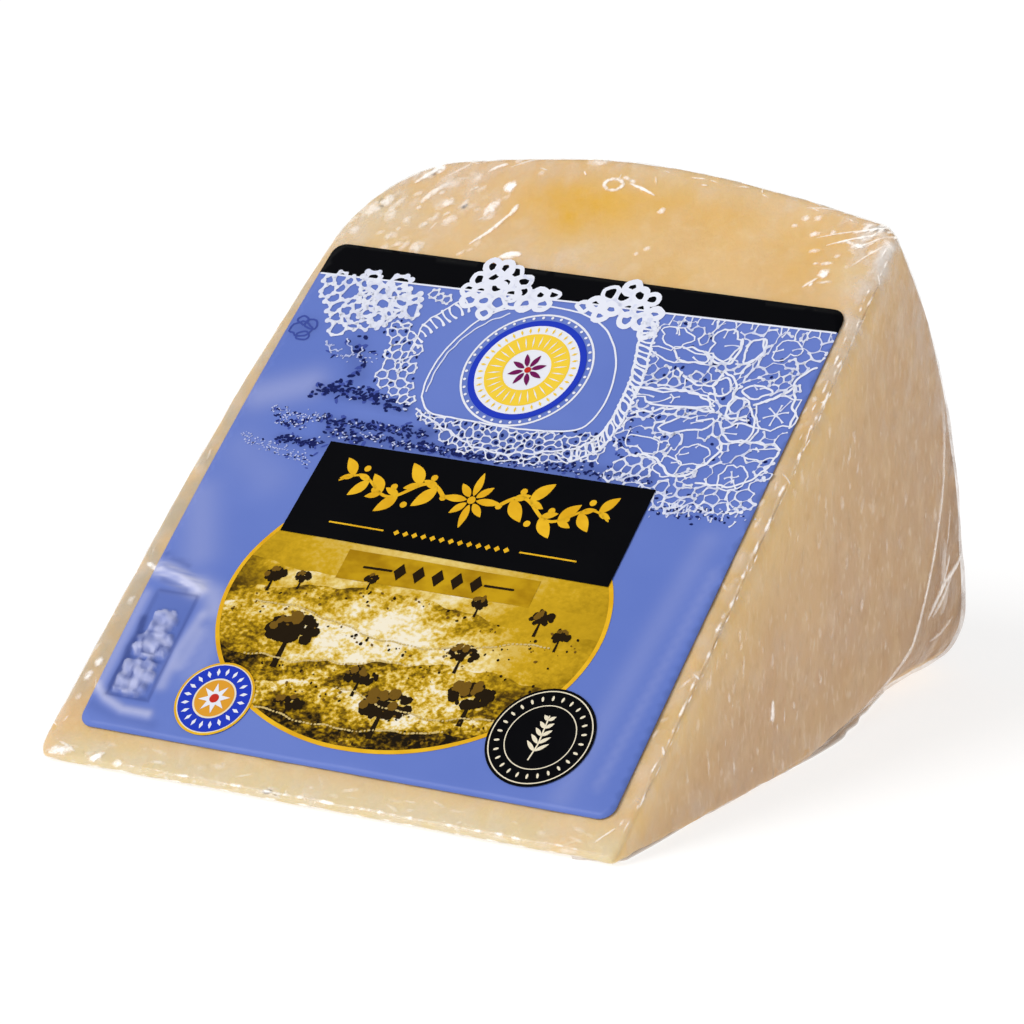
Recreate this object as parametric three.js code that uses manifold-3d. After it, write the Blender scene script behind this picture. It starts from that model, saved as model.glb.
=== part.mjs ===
// A wedge of hard sheep's milk cheese, cut from a small wheel, shrink-wrapped in clear film and
// lying on its lower cut face, with a printed label on its upper cut face.
//
// Millimetres, +Z up. The wheel's axis runs along X, the tip edge of the wedge points to -Y and the
// rim to +Y. The origin is under the middle of the pack, on the surface that it lies on.
import * as THREE from "three";
import { mergeVertices } from "three/addons/utils/BufferGeometryUtils.js";
import Module from "manifold-3d";

// The wheel that the wedge is cut from.
const WHEEL_HEIGHT = 80; // along X, between the wheel's two flat faces
const RIM_RADIUS = 98.8; // from the axis to the rim, at its fullest place along X
const RIM_BULGE = 6.5; // how much less the radius is beside the flat faces
const BULGE_POWER = 0.8; // how quickly the bulge falls away, as a power of the squared distance
const BULGE_CENTRE_X = -1.2;
const RIM_FULLNESS = 0.55; // how much more the radius is midway between the two cuts
const FACE_SINK = 0.2; // how far the flat faces lie inside the wheel's full height
const RIGHT_DOME = 0.9; // how far the right flat face turns in towards the rim
const LEFT_DOME = 4.6; // how far the left flat face turns in towards the rim
const DOME_START = 33; // distance from the axis where the flat faces start to turn in
const SHOULDER_RADIUS = 12; // rounding between the left flat face and the rim
const RIGHT_RIM_RADIUS = 3; // rounding between the right flat face and the rim

// The two cuts.
const WEDGE_ANGLE = THREE.MathUtils.degToRad(40.6);
const TIP_RADIUS = 1.5; // rounding of the thin tip edge
const CUT_EDGE_RADIUS = 2.3; // rounding where a cut meets the wheel's skin
const CUT_CORNER_RADIUS = 1.3; // the same beside the rim

// The lower edge of the right face is sharp by the tip and well rounded by the rim.
const LOWER_RIGHT_SHARP = 0.9;
const LOWER_RIGHT_ROUND = 9;
const ROUNDING_START = 42; // distances from the axis
const ROUNDING_END = 80;
const ROUNDING_WIDTH = 24; // how far in from the right face this radius fades out
const ROUNDING_HEIGHT = 26; // and how far up from the lower cut

// The film's sealed lip, flat on the floor along the lower edge of the right face.
const LIP_THICKNESS = 0.7;
const LIP_START = 1.2; // distances from the axis
const LIP_END = 78;
const LIP_ROOT = 31; // its inner edge, inside the cheese
const LIP_TAPER = 3; // distance over which its ends run out
const LIP_EDGE = 39.4; // how far out it lies by the tip
const LIP_NARROWING = { from: 8, to: 34, by: 1 };
const LIP_TURN = { from: 56, to: 84, by: 4 }; // where it follows the rounded corner in
const LIP_WAVE = { at: 48, width: 11, reach: 0.7 };

// The label on the upper cut face.
const LABEL_WIDTH = 72.3;
const LABEL_LENGTH = 73.6;
const LABEL_SKEW = 0.75; // how much higher its top left corner lies, and lower its top right one
const LABEL_CENTRE_X = 0.95;
const LABEL_START = 6; // distance of its lower edge from the axis, along the cut
const LABEL_CORNER = 1.8;
const LABEL_BOW = 0.9; // how far its left edge bows out
const LABEL_THICKNESS = 0.35;
const LABEL_CLEARANCE = 0.3; // between the cut face and the label

// How finely the solids are divided.
const TIP_STEPS = 4; // round the wedge's section, over the tip, the two cuts and the rim
const CUT_STEPS = 20;
const RIM_STEPS = 20;
const CAP_RINGS = [0, 0.22, 0.42, 0.6, 0.74, 0.85, 0.92, 0.97]; // from a flat face's middle outwards
const EDGE_ROWS = [0, 0.35, 1, 2, 3.4, 5.4, 8.2, 12, 17, 23]; // distances in from each flat face
const MIDDLE_ROWS = 5; // between the last edge rows
const LIP_STEPS = 44;
const PROJECTION_STEPS = 24; // rounds of moving a point on to the rounded surface

const HALF_HEIGHT = WHEEL_HEIGHT / 2;
const wasm = await Module();
wasm.setup();

// The rounded wedge, as the distance of a point outside it, below zero inside.

// 0 at one value and 1 at another, whichever of them is the larger, with a smooth way between.
function smoothstep(from, to, value) {
  return THREE.MathUtils.smoothstep((value - from) / (to - from), 0, 1);
}

// The larger of two distances, rounded off by a radius where they meet.
function roundedMax(a, b, radius) {
  const overA = Math.max(radius + a, 0);
  const overB = Math.max(radius + b, 0);
  return Math.min(-radius, Math.max(a, b)) + Math.hypot(overA, overB);
}

// The wheel's radius at a place along X and an angle up from the lower cut.
function rimRadius(x, angle) {
  const away = ((x - BULGE_CENTRE_X) ** 2 + 1) / (HALF_HEIGHT * HALF_HEIGHT);
  const midway = Math.sin(Math.PI * THREE.MathUtils.clamp(angle / WEDGE_ANGLE, 0, 1));
  return RIM_RADIUS - RIM_BULGE * away ** BULGE_POWER + RIM_FULLNESS * midway;
}

// The radius between the wheel's skin and the two cuts, at a place near them.
function cutEdgeRadius(p, distance) {
  const byRim = smoothstep(0.84, 0.95, distance / RIM_RADIUS);
  const plain = THREE.MathUtils.lerp(CUT_EDGE_RADIUS, CUT_CORNER_RADIUS, byRim);
  const rounded = smoothstep(ROUNDING_START, ROUNDING_END, distance);
  const lowerRight = THREE.MathUtils.lerp(LOWER_RIGHT_SHARP, LOWER_RIGHT_ROUND, rounded);
  const byRight = smoothstep(HALF_HEIGHT - ROUNDING_WIDTH, HALF_HEIGHT, p.x);
  const low = smoothstep(ROUNDING_HEIGHT, ROUNDING_HEIGHT / 3, p.z);
  return THREE.MathUtils.lerp(plain, lowerRight, byRight * low);
}

function outside(p) {
  const distance = Math.hypot(p.y, p.z);
  const turned = Math.max(distance - DOME_START, 0) / (RIM_RADIUS - DOME_START);
  const face = HALF_HEIGHT - FACE_SINK;
  const left = -p.x - face + LEFT_DOME * turned * turned;
  const right = p.x - face + RIGHT_DOME * turned * turned;
  const rim = distance - rimRadius(p.x, Math.atan2(p.z, p.y));
  const shoulder = roundedMax(rim, left, SHOULDER_RADIUS);
  const wheel = roundedMax(shoulder, right, RIGHT_RIM_RADIUS);
  const upper = p.z * Math.cos(WEDGE_ANGLE) - p.y * Math.sin(WEDGE_ANGLE);
  const cuts = roundedMax(-p.z, upper, TIP_RADIUS);
  return roundedMax(wheel, cuts, cutEdgeRadius(p, distance));
}

// Moves a point on to the surface, along the steepest way.
function projected(point) {
  const step = 1e-3;
  const p = point.clone();
  for (let round = 0; round < PROJECTION_STEPS; round++) {
    const here = outside(p);
    const slope = new THREE.Vector3(
      outside(new THREE.Vector3(p.x + step, p.y, p.z)) - here,
      outside(new THREE.Vector3(p.x, p.y + step, p.z)) - here,
      outside(new THREE.Vector3(p.x, p.y, p.z + step)) - here,
    ).divideScalar(step);
    p.addScaledVector(slope, -here / Math.max(slope.lengthSq(), 0.05));
  }
  if (Math.abs(p.z) < 1e-3) p.z = 0;
  return p;
}

// The sharp-edged section at a place along X, as points from the tip, out along the lower cut, round
// the rim and back along the upper cut.
function sectionPoints(x) {
  const radius = rimRadius(x, 0);
  const tip = TIP_RADIUS * 0.9;
  const points = [];
  const spread = (i, count) => (1 - Math.cos((Math.PI * i) / count)) / 2;
  for (let i = 0; i < CUT_STEPS; i++) {
    const distance = tip + (radius - tip) * spread(i, CUT_STEPS);
    points.push(new THREE.Vector2(distance, 0));
  }
  for (let i = 0; i < RIM_STEPS; i++) {
    const angle = WEDGE_ANGLE * spread(i, RIM_STEPS);
    points.push(new THREE.Vector2(Math.cos(angle), Math.sin(angle)).multiplyScalar(radius));
  }
  for (let i = 0; i < CUT_STEPS; i++) {
    const distance = radius + (tip - radius) * spread(i, CUT_STEPS);
    points.push(new THREE.Vector2(Math.cos(WEDGE_ANGLE), Math.sin(WEDGE_ANGLE)).multiplyScalar(distance));
  }
  for (let i = 0; i < TIP_STEPS; i++) {
    const angle = WEDGE_ANGLE * (1 - i / TIP_STEPS);
    points.push(new THREE.Vector2(Math.cos(angle), Math.sin(angle)).multiplyScalar(tip));
  }
  return points;
}

// Every row of the skin: its place along X, and its size against the full section.
function skinRows() {
  const ring = (side) => (scale) => ({ x: side * HALF_HEIGHT, scale });
  const edge = (side) => (inset) => ({ x: side * (HALF_HEIGHT - inset), scale: 1 });
  const lastEdge = HALF_HEIGHT - EDGE_ROWS.at(-1);
  const middle = [];
  for (let i = 1; i < MIDDLE_ROWS; i++) {
    middle.push({ x: lastEdge - (2 * lastEdge * i) / MIDDLE_ROWS, scale: 1 });
  }
  return [
    ...CAP_RINGS.map(ring(1)),
    ...EDGE_ROWS.map(edge(1)),
    ...middle,
    ...EDGE_ROWS.map(edge(-1)).reverse(),
    ...CAP_RINGS.map(ring(-1)).reverse(),
  ];
}

function onlyPositions(geometry) {
  geometry.deleteAttribute("normal");
  geometry.deleteAttribute("uv");
  return mergeVertices(geometry, 1e-4);
}

// A sphere's grid, with its rows and columns laid on the rounded wedge.
function wedgeGeometry() {
  const rows = skinRows();
  const columns = sectionPoints(0).length;
  const geometry = new THREE.SphereGeometry(1, columns, rows.length - 1);
  const position = geometry.attributes.position;
  rows.forEach(({ x, scale }, row) => {
    const section = sectionPoints(x);
    const middle = new THREE.Vector2(RIM_RADIUS * 0.62, 0).rotateAround(
      new THREE.Vector2(),
      WEDGE_ANGLE / 2,
    );
    for (let column = 0; column <= columns; column++) {
      const at = section[column % columns].clone().lerp(middle, 1 - scale);
      const p = projected(new THREE.Vector3(x, at.x, at.y));
      position.setXYZ(row * (columns + 1) + column, p.x, p.y, p.z);
    }
  });
  return onlyPositions(geometry);
}

// How far out the lip lies at a distance from the axis.
function lipEdge(distance) {
  const { at, width, reach } = LIP_WAVE;
  const edge =
    LIP_EDGE +
    reach * Math.exp(-(((distance - at) / width) ** 2)) -
    LIP_NARROWING.by * smoothstep(LIP_NARROWING.from, LIP_NARROWING.to, distance) -
    LIP_TURN.by * smoothstep(LIP_TURN.from, LIP_TURN.to, distance);
  const ends =
    smoothstep(LIP_START, LIP_START + LIP_TAPER, distance) *
    smoothstep(LIP_END, LIP_END - LIP_TAPER, distance);
  return LIP_ROOT + (edge - LIP_ROOT) * Math.sqrt(ends);
}

function lipGeometry() {
  const outline = new THREE.Shape();
  outline.moveTo(LIP_ROOT, LIP_START);
  for (let i = 1; i < LIP_STEPS; i++) {
    const distance = LIP_START + ((LIP_END - LIP_START) * i) / LIP_STEPS;
    outline.lineTo(lipEdge(distance), distance);
  }
  outline.lineTo(LIP_ROOT, LIP_END);
  outline.closePath();
  const options = { depth: LIP_THICKNESS, bevelEnabled: false };
  return onlyPositions(new THREE.ExtrudeGeometry(outline, options));
}

function toManifold(geometry) {
  return new wasm.Manifold(
    new wasm.Mesh({
      numProp: 3,
      vertProperties: new Float32Array(geometry.attributes.position.array),
      triVerts: new Uint32Array(geometry.index.array),
    }),
  );
}

function fromManifold(solid) {
  const { vertProperties, triVerts } = solid.getMesh();
  const geometry = new THREE.BufferGeometry();
  geometry.setAttribute("position", new THREE.BufferAttribute(vertProperties, 3));
  geometry.setIndex(new THREE.BufferAttribute(triVerts, 1));
  return geometry;
}

// The label lies in its own plane, X across and Y up the slope, and is turned on to the cut face.
function labelGeometry() {
  const right = LABEL_CENTRE_X + LABEL_WIDTH / 2;
  const left = LABEL_CENTRE_X - LABEL_WIDTH / 2;
  const topRight = LABEL_START + LABEL_LENGTH - LABEL_SKEW;
  const topLeft = LABEL_START + LABEL_LENGTH + LABEL_SKEW;
  const bottom = LABEL_START;
  const r = LABEL_CORNER;
  const outline = new THREE.Shape();
  outline.moveTo(left + r, bottom);
  outline.lineTo(right - r, bottom);
  outline.absarc(right - r, bottom + r, r, -Math.PI / 2, 0);
  outline.lineTo(right, topRight - r);
  outline.absarc(right - r, topRight - r, r, 0, Math.PI / 2);
  outline.lineTo(left + r, topLeft);
  outline.absarc(left + r, topLeft - r, r, Math.PI / 2, Math.PI);
  outline.quadraticCurveTo(left - 2 * LABEL_BOW, (topLeft + bottom) / 2, left, bottom + r);
  outline.absarc(left + r, bottom + r, r, Math.PI, 1.5 * Math.PI);
  const options = { depth: LABEL_THICKNESS, bevelEnabled: false, curveSegments: 10 };
  return onlyPositions(new THREE.ExtrudeGeometry(outline, options));
}

const filmedCheese = new THREE.MeshStandardMaterial({ color: 0xd9b98c, roughness: 0.25, metalness: 0 });
const printedLabel = new THREE.MeshStandardMaterial({ color: 0x6c80ce, roughness: 0.3, metalness: 0 });

const pack = new THREE.Mesh(
  fromManifold(toManifold(wedgeGeometry()).add(toManifold(lipGeometry()))),
  filmedCheese,
);
pack.name = "cheese_pack";

const label = new THREE.Mesh(labelGeometry(), printedLabel);
label.name = "label";
label.position.z = LABEL_CLEARANCE;
const labelPlane = new THREE.Group();
labelPlane.rotation.x = WEDGE_ANGLE;
labelPlane.add(label);

// Everything above is placed from the wheel's axis, and the group is moved to its own middle.
const model = new THREE.Group();
model.add(pack, labelPlane);
const reach = new THREE.Box3().setFromObject(pack);
const middle = reach.getCenter(new THREE.Vector3());
model.position.set(-middle.x, -middle.y, -reach.min.z);

export default model;
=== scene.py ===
import math

import bpy
import numpy as np
from mathutils import Matrix, Vector
from mathutils.geometry import delaunay_2d_cdt


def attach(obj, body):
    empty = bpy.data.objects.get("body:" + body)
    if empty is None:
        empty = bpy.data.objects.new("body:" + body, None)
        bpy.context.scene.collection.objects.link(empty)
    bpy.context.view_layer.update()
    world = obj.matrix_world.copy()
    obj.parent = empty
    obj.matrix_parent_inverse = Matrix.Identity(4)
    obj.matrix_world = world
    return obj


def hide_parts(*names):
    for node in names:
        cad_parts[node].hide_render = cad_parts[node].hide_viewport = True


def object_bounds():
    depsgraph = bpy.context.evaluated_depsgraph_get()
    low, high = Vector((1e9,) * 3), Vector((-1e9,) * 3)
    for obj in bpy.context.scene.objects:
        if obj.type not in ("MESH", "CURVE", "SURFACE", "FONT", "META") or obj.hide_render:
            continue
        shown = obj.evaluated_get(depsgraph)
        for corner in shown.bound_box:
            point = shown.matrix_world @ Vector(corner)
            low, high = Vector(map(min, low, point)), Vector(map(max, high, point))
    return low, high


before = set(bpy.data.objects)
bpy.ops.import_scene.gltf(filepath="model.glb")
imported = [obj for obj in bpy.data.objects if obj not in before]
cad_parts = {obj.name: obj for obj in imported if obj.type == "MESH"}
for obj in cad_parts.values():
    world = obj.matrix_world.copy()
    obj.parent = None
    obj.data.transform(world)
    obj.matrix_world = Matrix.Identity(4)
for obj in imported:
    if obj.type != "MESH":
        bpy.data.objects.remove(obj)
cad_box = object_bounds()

MM = 0.001
AXIS_Y = -49.96  # where the wheel's axis lies in the part's frame

# The wheel and its two cuts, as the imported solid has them.
HALF_HEIGHT = 40.0
RIM_RADIUS = 98.8
RIM_BULGE = 6.5
BULGE_POWER = 0.8
BULGE_CENTRE_X = -1.2
RIM_FULLNESS = 0.55
FACE_SINK = 0.2
RIGHT_DOME = 0.9
LEFT_DOME = 4.6
DOME_START = 33.0
SHOULDER_RADIUS = 12.0
RIGHT_RIM_RADIUS = 3.0
WEDGE_ANGLE = math.radians(40.6)
TIP_RADIUS = 1.5
CUT_EDGE_RADIUS = 2.3
CUT_CORNER_RADIUS = 1.3
LOWER_RIGHT_SHARP = 0.9
LOWER_RIGHT_ROUND = 9.0
ROUNDING_START = 42.0
ROUNDING_END = 80.0
ROUNDING_WIDTH = 24.0
ROUNDING_HEIGHT = 26.0
COS, SIN = math.cos(WEDGE_ANGLE), math.sin(WEDGE_ANGLE)

# The film and what it covers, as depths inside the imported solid.
FILM_DEPTH = 0.05
CHEESE_DEPTH = 0.17
WEB_DEPTH = 0.35  # how much further in the cheese lies under the loose film of the lower right corner

# The film's sealed lip, which lies on the floor along the right face.
LIP_START, LIP_END = 1.4, 77.8  # distances from the axis
LIP_ROOT, LIP_REACH = 34.0, 39.4  # where it comes from under the wedge, and how far out it goes
LIP_THICKNESS, LIP_THINNING, LIP_UNDER = 0.62, 0.4, 0.03
# The lip's tint is lighter than the loose film's: painted light that makes up for the shade under the
# wedge's rounded corner.
LIP_HAZE, LIP_TINT = 3.0, 0.42

# Where lines and marks start from, before they are laid on the rind.
BESIDE = 39.8
BEHIND = 97.0

ARC_SCALE = 50.0  # millimetres of fold to a radian, along the rim of a flat side

# The loose film's upper edge on the right face, as (y, z).
SEAM = [(8, 0.5), (29, 0.8), (37.2, 0.9), (51.3, 1.3), (61.1, 2.0), (68.7, 4.4), (71.1, 5.8), (74.1, 7.7),
        (75.9, 10.2), (77.9, 13.7), (80.0, 18.0), (81.9, 24.2), (82.4, 27.3), (82.4, 33.0), (80.6, 44.0)]

# The label.
LABEL_LEFT, LABEL_RIGHT = -35.2, 37.1
LABEL_BOTTOM = 6.0
LABEL_TOP_LEFT, LABEL_TOP_RIGHT = 80.35, 78.85
LABEL_CORNER = 1.8
LABEL_BOW = 0.9
LABEL_TOP = 0.21  # its upper side's height over the cut
LABEL_UNDER = 0.06
LABEL_DROOP = 0.03  # how much lower its border lies
PRINT_LIFT = 0.02
BAND_EDGE = 75.5  # lower edge of the dark band along the label's top
PLATE = [(-21.28, 50.49), (-21.83, 36.81), (23.71, 35.85), (23.88, 49.96)]
RIBBON = [(-11.31, 35.65), (-11.38, 31.49), (15.03, 31.53), (15.07, 35.28)]
PICTURE_CENTRE, PICTURE_SIZE = (0.6, 28.5), (25.6, 19.8)
BLUE_SEAL, BLUE_SEAL_RADIUS = (-18.8, 12.45), 5.1
DARK_SEAL, DARK_SEAL_RADIUS = (24.25, 14.8), 6.65
MEDALLION = (-0.2, 64.6)


# ---------------------------------------------------------------- the rounded wedge

def smooth(start, end, value):
    """0 at start and 1 at end, with a smooth way between."""
    t = np.clip((value - start) / (end - start), 0, 1)
    return t * t * (3 - 2 * t)


def blend(a, b, share):
    return a + (b - a) * share


def bell(value, middle, width):
    """1 at the middle, falling away on both sides."""
    return np.exp(-(((value - middle) / width) ** 2))


def rounded_max(a, b, radius):
    over = np.hypot(np.maximum(radius + a, 0), np.maximum(radius + b, 0))
    return np.minimum(-radius, np.maximum(a, b)) + over


def rim_radius(x, angle):
    away = ((x - BULGE_CENTRE_X) ** 2 + 1) / HALF_HEIGHT**2
    midway = np.sin(np.pi * np.clip(angle / WEDGE_ANGLE, 0, 1))
    return RIM_RADIUS - RIM_BULGE * away**BULGE_POWER + RIM_FULLNESS * midway


def cut_edge_radius(points, distance):
    x, z = points[:, 0], points[:, 2]
    plain = blend(CUT_EDGE_RADIUS, CUT_CORNER_RADIUS, smooth(0.84, 0.95, distance / RIM_RADIUS))
    rounded = smooth(ROUNDING_START, ROUNDING_END, distance)
    lower_right = blend(LOWER_RIGHT_SHARP, LOWER_RIGHT_ROUND, rounded)
    by_right = smooth(HALF_HEIGHT - ROUNDING_WIDTH, HALF_HEIGHT, x)
    low = smooth(ROUNDING_HEIGHT, ROUNDING_HEIGHT / 3, z)
    return blend(plain, lower_right, by_right * low)


def doming(distance):
    """How much of its dome a flat side has, at a distance from the axis: 1 at the rim."""
    return (np.maximum(distance - DOME_START, 0) / (RIM_RADIUS - DOME_START)) ** 2


def depths(points):
    """How deep points lie behind each face: the upper cut, lower cut, rim, right face and left face."""
    x, y, z = points.T
    distance = np.hypot(y, z)
    face, dome = HALF_HEIGHT - FACE_SINK, doming(distance)
    return {
        "upper": y * SIN - z * COS,
        "lower": z,
        "rim": rim_radius(x, np.arctan2(z, y)) - distance,
        "right": face - RIGHT_DOME * dome - x,
        "left": face - LEFT_DOME * dome + x,
    }


def outside(points):
    """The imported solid's surface, as the distance of points outside it, below zero inside."""
    d = depths(points)
    shoulder = rounded_max(-d["rim"], -d["left"], SHOULDER_RADIUS)
    wheel = rounded_max(shoulder, -d["right"], RIGHT_RIM_RADIUS)
    cuts = rounded_max(-d["lower"], -d["upper"], TIP_RADIUS)
    distance = np.hypot(points[:, 1], points[:, 2])
    return rounded_max(wheel, cuts, cut_edge_radius(points, distance))


def slope(points):
    step = 1e-3
    here = outside(points)
    return here, np.stack([(outside(points + step * axis) - here) / step for axis in np.eye(3)], 1)


def on_surface(points):
    """Points moved on to the surface along the steepest way, and the way out at each."""
    points = np.array(points, float)
    for _ in range(24):
        here, out = slope(points)
        points = points - out * (here / np.maximum((out**2).sum(1), 0.05))[:, None]
    points[np.abs(points[:, 2]) < 1e-3, 2] = 0
    out = slope(points)[1]
    return points, out / np.linalg.norm(out, axis=1)[:, None]


def ripple(points, size, seed):
    """Soft unevenness of about that size in millimetres, between about -1 and 1."""
    waves = 14
    draw = np.random.default_rng(seed)
    way = draw.normal(size=(waves, points.shape[1]))
    pitch = draw.uniform(0.6, 1.5, waves) * 2 * np.pi / size
    way *= (pitch / np.linalg.norm(way, axis=1))[:, None]
    total = np.zeros(len(points))
    for k, phase in zip(way, draw.uniform(0, 2 * np.pi, waves)):
        total += np.sin(points @ k + phase)
    return total / math.sqrt(waves)


def graded(length, fine, coarse, reach):
    """Places along a length, close together near both ends."""
    places = [0.0]
    while places[-1] < length / 2:
        places.append(places[-1] + blend(fine, coarse, min(places[-1] / reach, 1)))
    half = np.array(places) * (length / 2 / places[-1])
    return np.concatenate([half, length - half[-2::-1]])


# ---------------------------------------------------------------- flat areas

def spaced(loop, spacing, closed=True):
    """A loop or line with points added, so that no two are further apart than the spacing."""
    loop = np.array(loop, float)
    ends = np.roll(loop, -1, 0) if closed else loop[1:]
    out = []
    for a, b in zip(loop, ends):
        count = max(1, math.ceil(np.linalg.norm(b - a) / spacing))
        out += [a + (b - a) * i / count for i in range(count)]
    return np.array(out if closed else [*out, loop[-1]])


def inside(loops, points):
    """True where points lie inside the loops, counted even and odd."""
    found = np.zeros(len(points), bool)
    px, py = points[:, 0], points[:, 1]
    for loop in loops:
        for (ax, ay), (bx, by) in zip(loop, np.roll(loop, -1, 0)):
            if ay != by:
                crosses = (ay > py) != (by > py)
                found ^= crosses & (px < (bx - ax) * (py - ay) / (by - ay) + ax)
    return found


def nearest(points, others):
    """The distance from each point to the nearest of the others."""
    best = [np.sqrt(((block[:, None] - others[None]) ** 2).sum(2).min(1))
        for block in np.array_split(points, len(points) // 3000 + 1)]
    return np.concatenate(best)


def staggered(low, high, spacing, row):
    """Places in even rows, every second row moved along by half the spacing."""
    return np.array([
        (x + (i % 2) * spacing / 2, y)
        for i, y in enumerate(np.arange(low[1], high[1], row))
        for x in np.arange(low[0], high[0], spacing)
    ])


def triangles(points, edges):
    made = delaunay_2d_cdt([Vector(p) for p in points], edges, [], 0, 1e-7, True)
    return np.array([tuple(v) for v in made[0]]), np.array(made[2]), made[3]


def filled(loops, spacing, lines=(), extra=None):
    """The flat area inside closed loops, as even triangles whose edges follow the loops and lines."""
    rims = [spaced(loop, spacing) for loop in loops]
    runs = [spaced(line, spacing, closed=False) for line in lines]
    points, edges = [], []
    for run, closed in [(r, True) for r in rims] + [(r, False) for r in runs]:
        first = len(points)
        points += list(run)
        edges += [(first + i, first + i + 1) for i in range(len(run) - 1)]
        if closed:
            edges.append((len(points) - 1, first))
    fixed = np.array(points)
    low, high = fixed.min(0), fixed.max(0)
    grid = staggered(low - (spacing, 0), high + (spacing, 0), spacing, spacing * math.sqrt(3) / 2)
    if extra is not None:
        grid = np.concatenate([grid[nearest(grid, extra) > 0.5 * spacing], extra])
    grid = grid[inside(rims, grid)]
    if len(grid):
        grid = grid[nearest(grid, fixed) > 0.45 * spacing]
    corners, faces, _ = triangles(np.concatenate([fixed, grid]) if len(grid) else fixed, edges)
    used, faces = np.unique(faces[inside(rims, corners[faces].mean(1))], return_inverse=True)
    return corners[used], faces.reshape(-1, 3)


def ring(centre, radius, count):
    """A circle or oval as a loop of places."""
    angles = np.arange(count) * 2 * np.pi / count
    rx, ry = (radius, radius) if np.isscalar(radius) else radius
    return np.column_stack([centre[0] + rx * np.cos(angles), centre[1] + ry * np.sin(angles)])


# ---------------------------------------------------------------- nodes

def node(tree, kind, inputs=None, **settings):
    """A new node, with its settings, and each input either set or joined to another node's output."""
    made = tree.nodes.new(kind)
    for key, value in settings.items():
        setattr(made, key, value)
    for key, value in (inputs or {}).items():
        if isinstance(value, bpy.types.NodeSocket):
            tree.links.new(value, made.inputs[key])
        else:
            made.inputs[key].default_value = value
    return made


SOCKET_KINDS = {float: "Float", int: "Int", tuple: "Vector"}


def new_tree(name, kind, inputs, outputs):
    """A new node tree. Each input has a value, or the kind of its socket; each output has its kind."""
    tree = bpy.data.node_groups.new(name, kind)
    for in_out, sockets in (("INPUT", inputs), ("OUTPUT", outputs)):
        for label, value in sockets.items():
            socket_type = "NodeSocket" + SOCKET_KINDS.get(type(value), str(value))
            socket = tree.interface.new_socket(name=label, in_out=in_out, socket_type=socket_type)
            if type(value) in SOCKET_KINDS:
                socket.default_value = value
    return tree, tree.nodes.new("NodeGroupInput").outputs


def ending(tree, values):
    node(tree, "NodeGroupOutput", values)


def named(tree, name, data_type="FLOAT"):
    made = node(tree, "GeometryNodeInputNamedAttribute", {"Name": name}, data_type=data_type)
    return made.outputs["Attribute"]


def math_of(tree, operation, a, b=0.0):
    return node(tree, "ShaderNodeMath", {0: a, 1: b}, operation=operation).outputs[0]


def stored(tree, geometry, name, value):
    """A geometry that keeps a value at its points, under a name."""
    keep = {"Geometry": geometry, "Name": name, "Value": value}
    return node(tree, "GeometryNodeStoreNamedAttribute", keep).outputs[0]


def arched(tree, shape, axis, rise, way):
    """A shape that rises towards its middle. Its fade is 1 there and 0 at its border."""
    square = math_of(tree, "MULTIPLY", axis, axis)
    marked = stored(tree, shape, "fade", math_of(tree, "SUBTRACT", 1.0, square))
    height = math_of(tree, "MULTIPLY", named(tree, "fade"), rise)
    offset = node(tree, "ShaderNodeCombineXYZ", {way: height}).outputs[0]
    return node(tree, "GeometryNodeSetPosition", {"Geometry": marked, "Offset": offset}).outputs[0]


def finish_tree(tree, shapes, given):
    """Ends a geometry tree: its shapes are made real and get their material."""
    real = node(tree, "GeometryNodeRealizeInstances", {0: shapes.outputs[0]}).outputs[0]
    inputs = {0: real, "Material": given["Material"]}
    ending(tree, {0: node(tree, "GeometryNodeSetMaterial", inputs).outputs[0]})


def thread_tree():
    """Flat or arched threads along lines, as wide as their width attribute, with round knots."""
    tree, given = new_tree("threads", "GeometryNodeTree", {
        "Geometry": "Geometry", "Arch": 0.0, "Points Across": 2, "Material": "Material",
    }, {"Geometry": "Geometry"})
    curve = node(tree, "GeometryNodeMeshToCurve", {0: given["Geometry"]}).outputs[0]
    turned = node(tree, "GeometryNodeSetCurveNormal",
        {"Curve": curve, "Normal": named(tree, "up", "FLOAT_VECTOR")}, mode="FREE")
    line = node(tree, "GeometryNodeCurvePrimitiveLine", {"Start": (0, -1, 0), "End": (0, 1, 0)})
    profile = node(tree, "GeometryNodeResampleCurve", {0: line.outputs[0], "Count": given["Points Across"]})
    place = node(tree, "GeometryNodeInputPosition").outputs[0]
    across = node(tree, "ShaderNodeSeparateXYZ", {0: place}).outputs["Y"]
    strips = node(tree, "GeometryNodeCurveToMesh", {
        "Curve": turned.outputs[0], "Scale": named(tree, "width"),
        "Profile Curve": arched(tree, profile.outputs[0], across, given["Arch"], "X"),
    })
    disc = node(tree, "GeometryNodeMeshCircle", {"Vertices": 10, "Radius": 1.0}, fill_type="NGON")
    knots = node(tree, "GeometryNodeInstanceOnPoints", {
        "Points": given["Geometry"], "Selection": named(tree, "knot", "BOOLEAN"),
        "Instance": disc.outputs[0], "Scale": named(tree, "width"),
    })
    both = node(tree, "GeometryNodeJoinGeometry")
    tree.links.new(strips.outputs[0], both.inputs[0])
    tree.links.new(knots.outputs[0], both.inputs[0])
    finish_tree(tree, both, given)
    return tree


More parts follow.
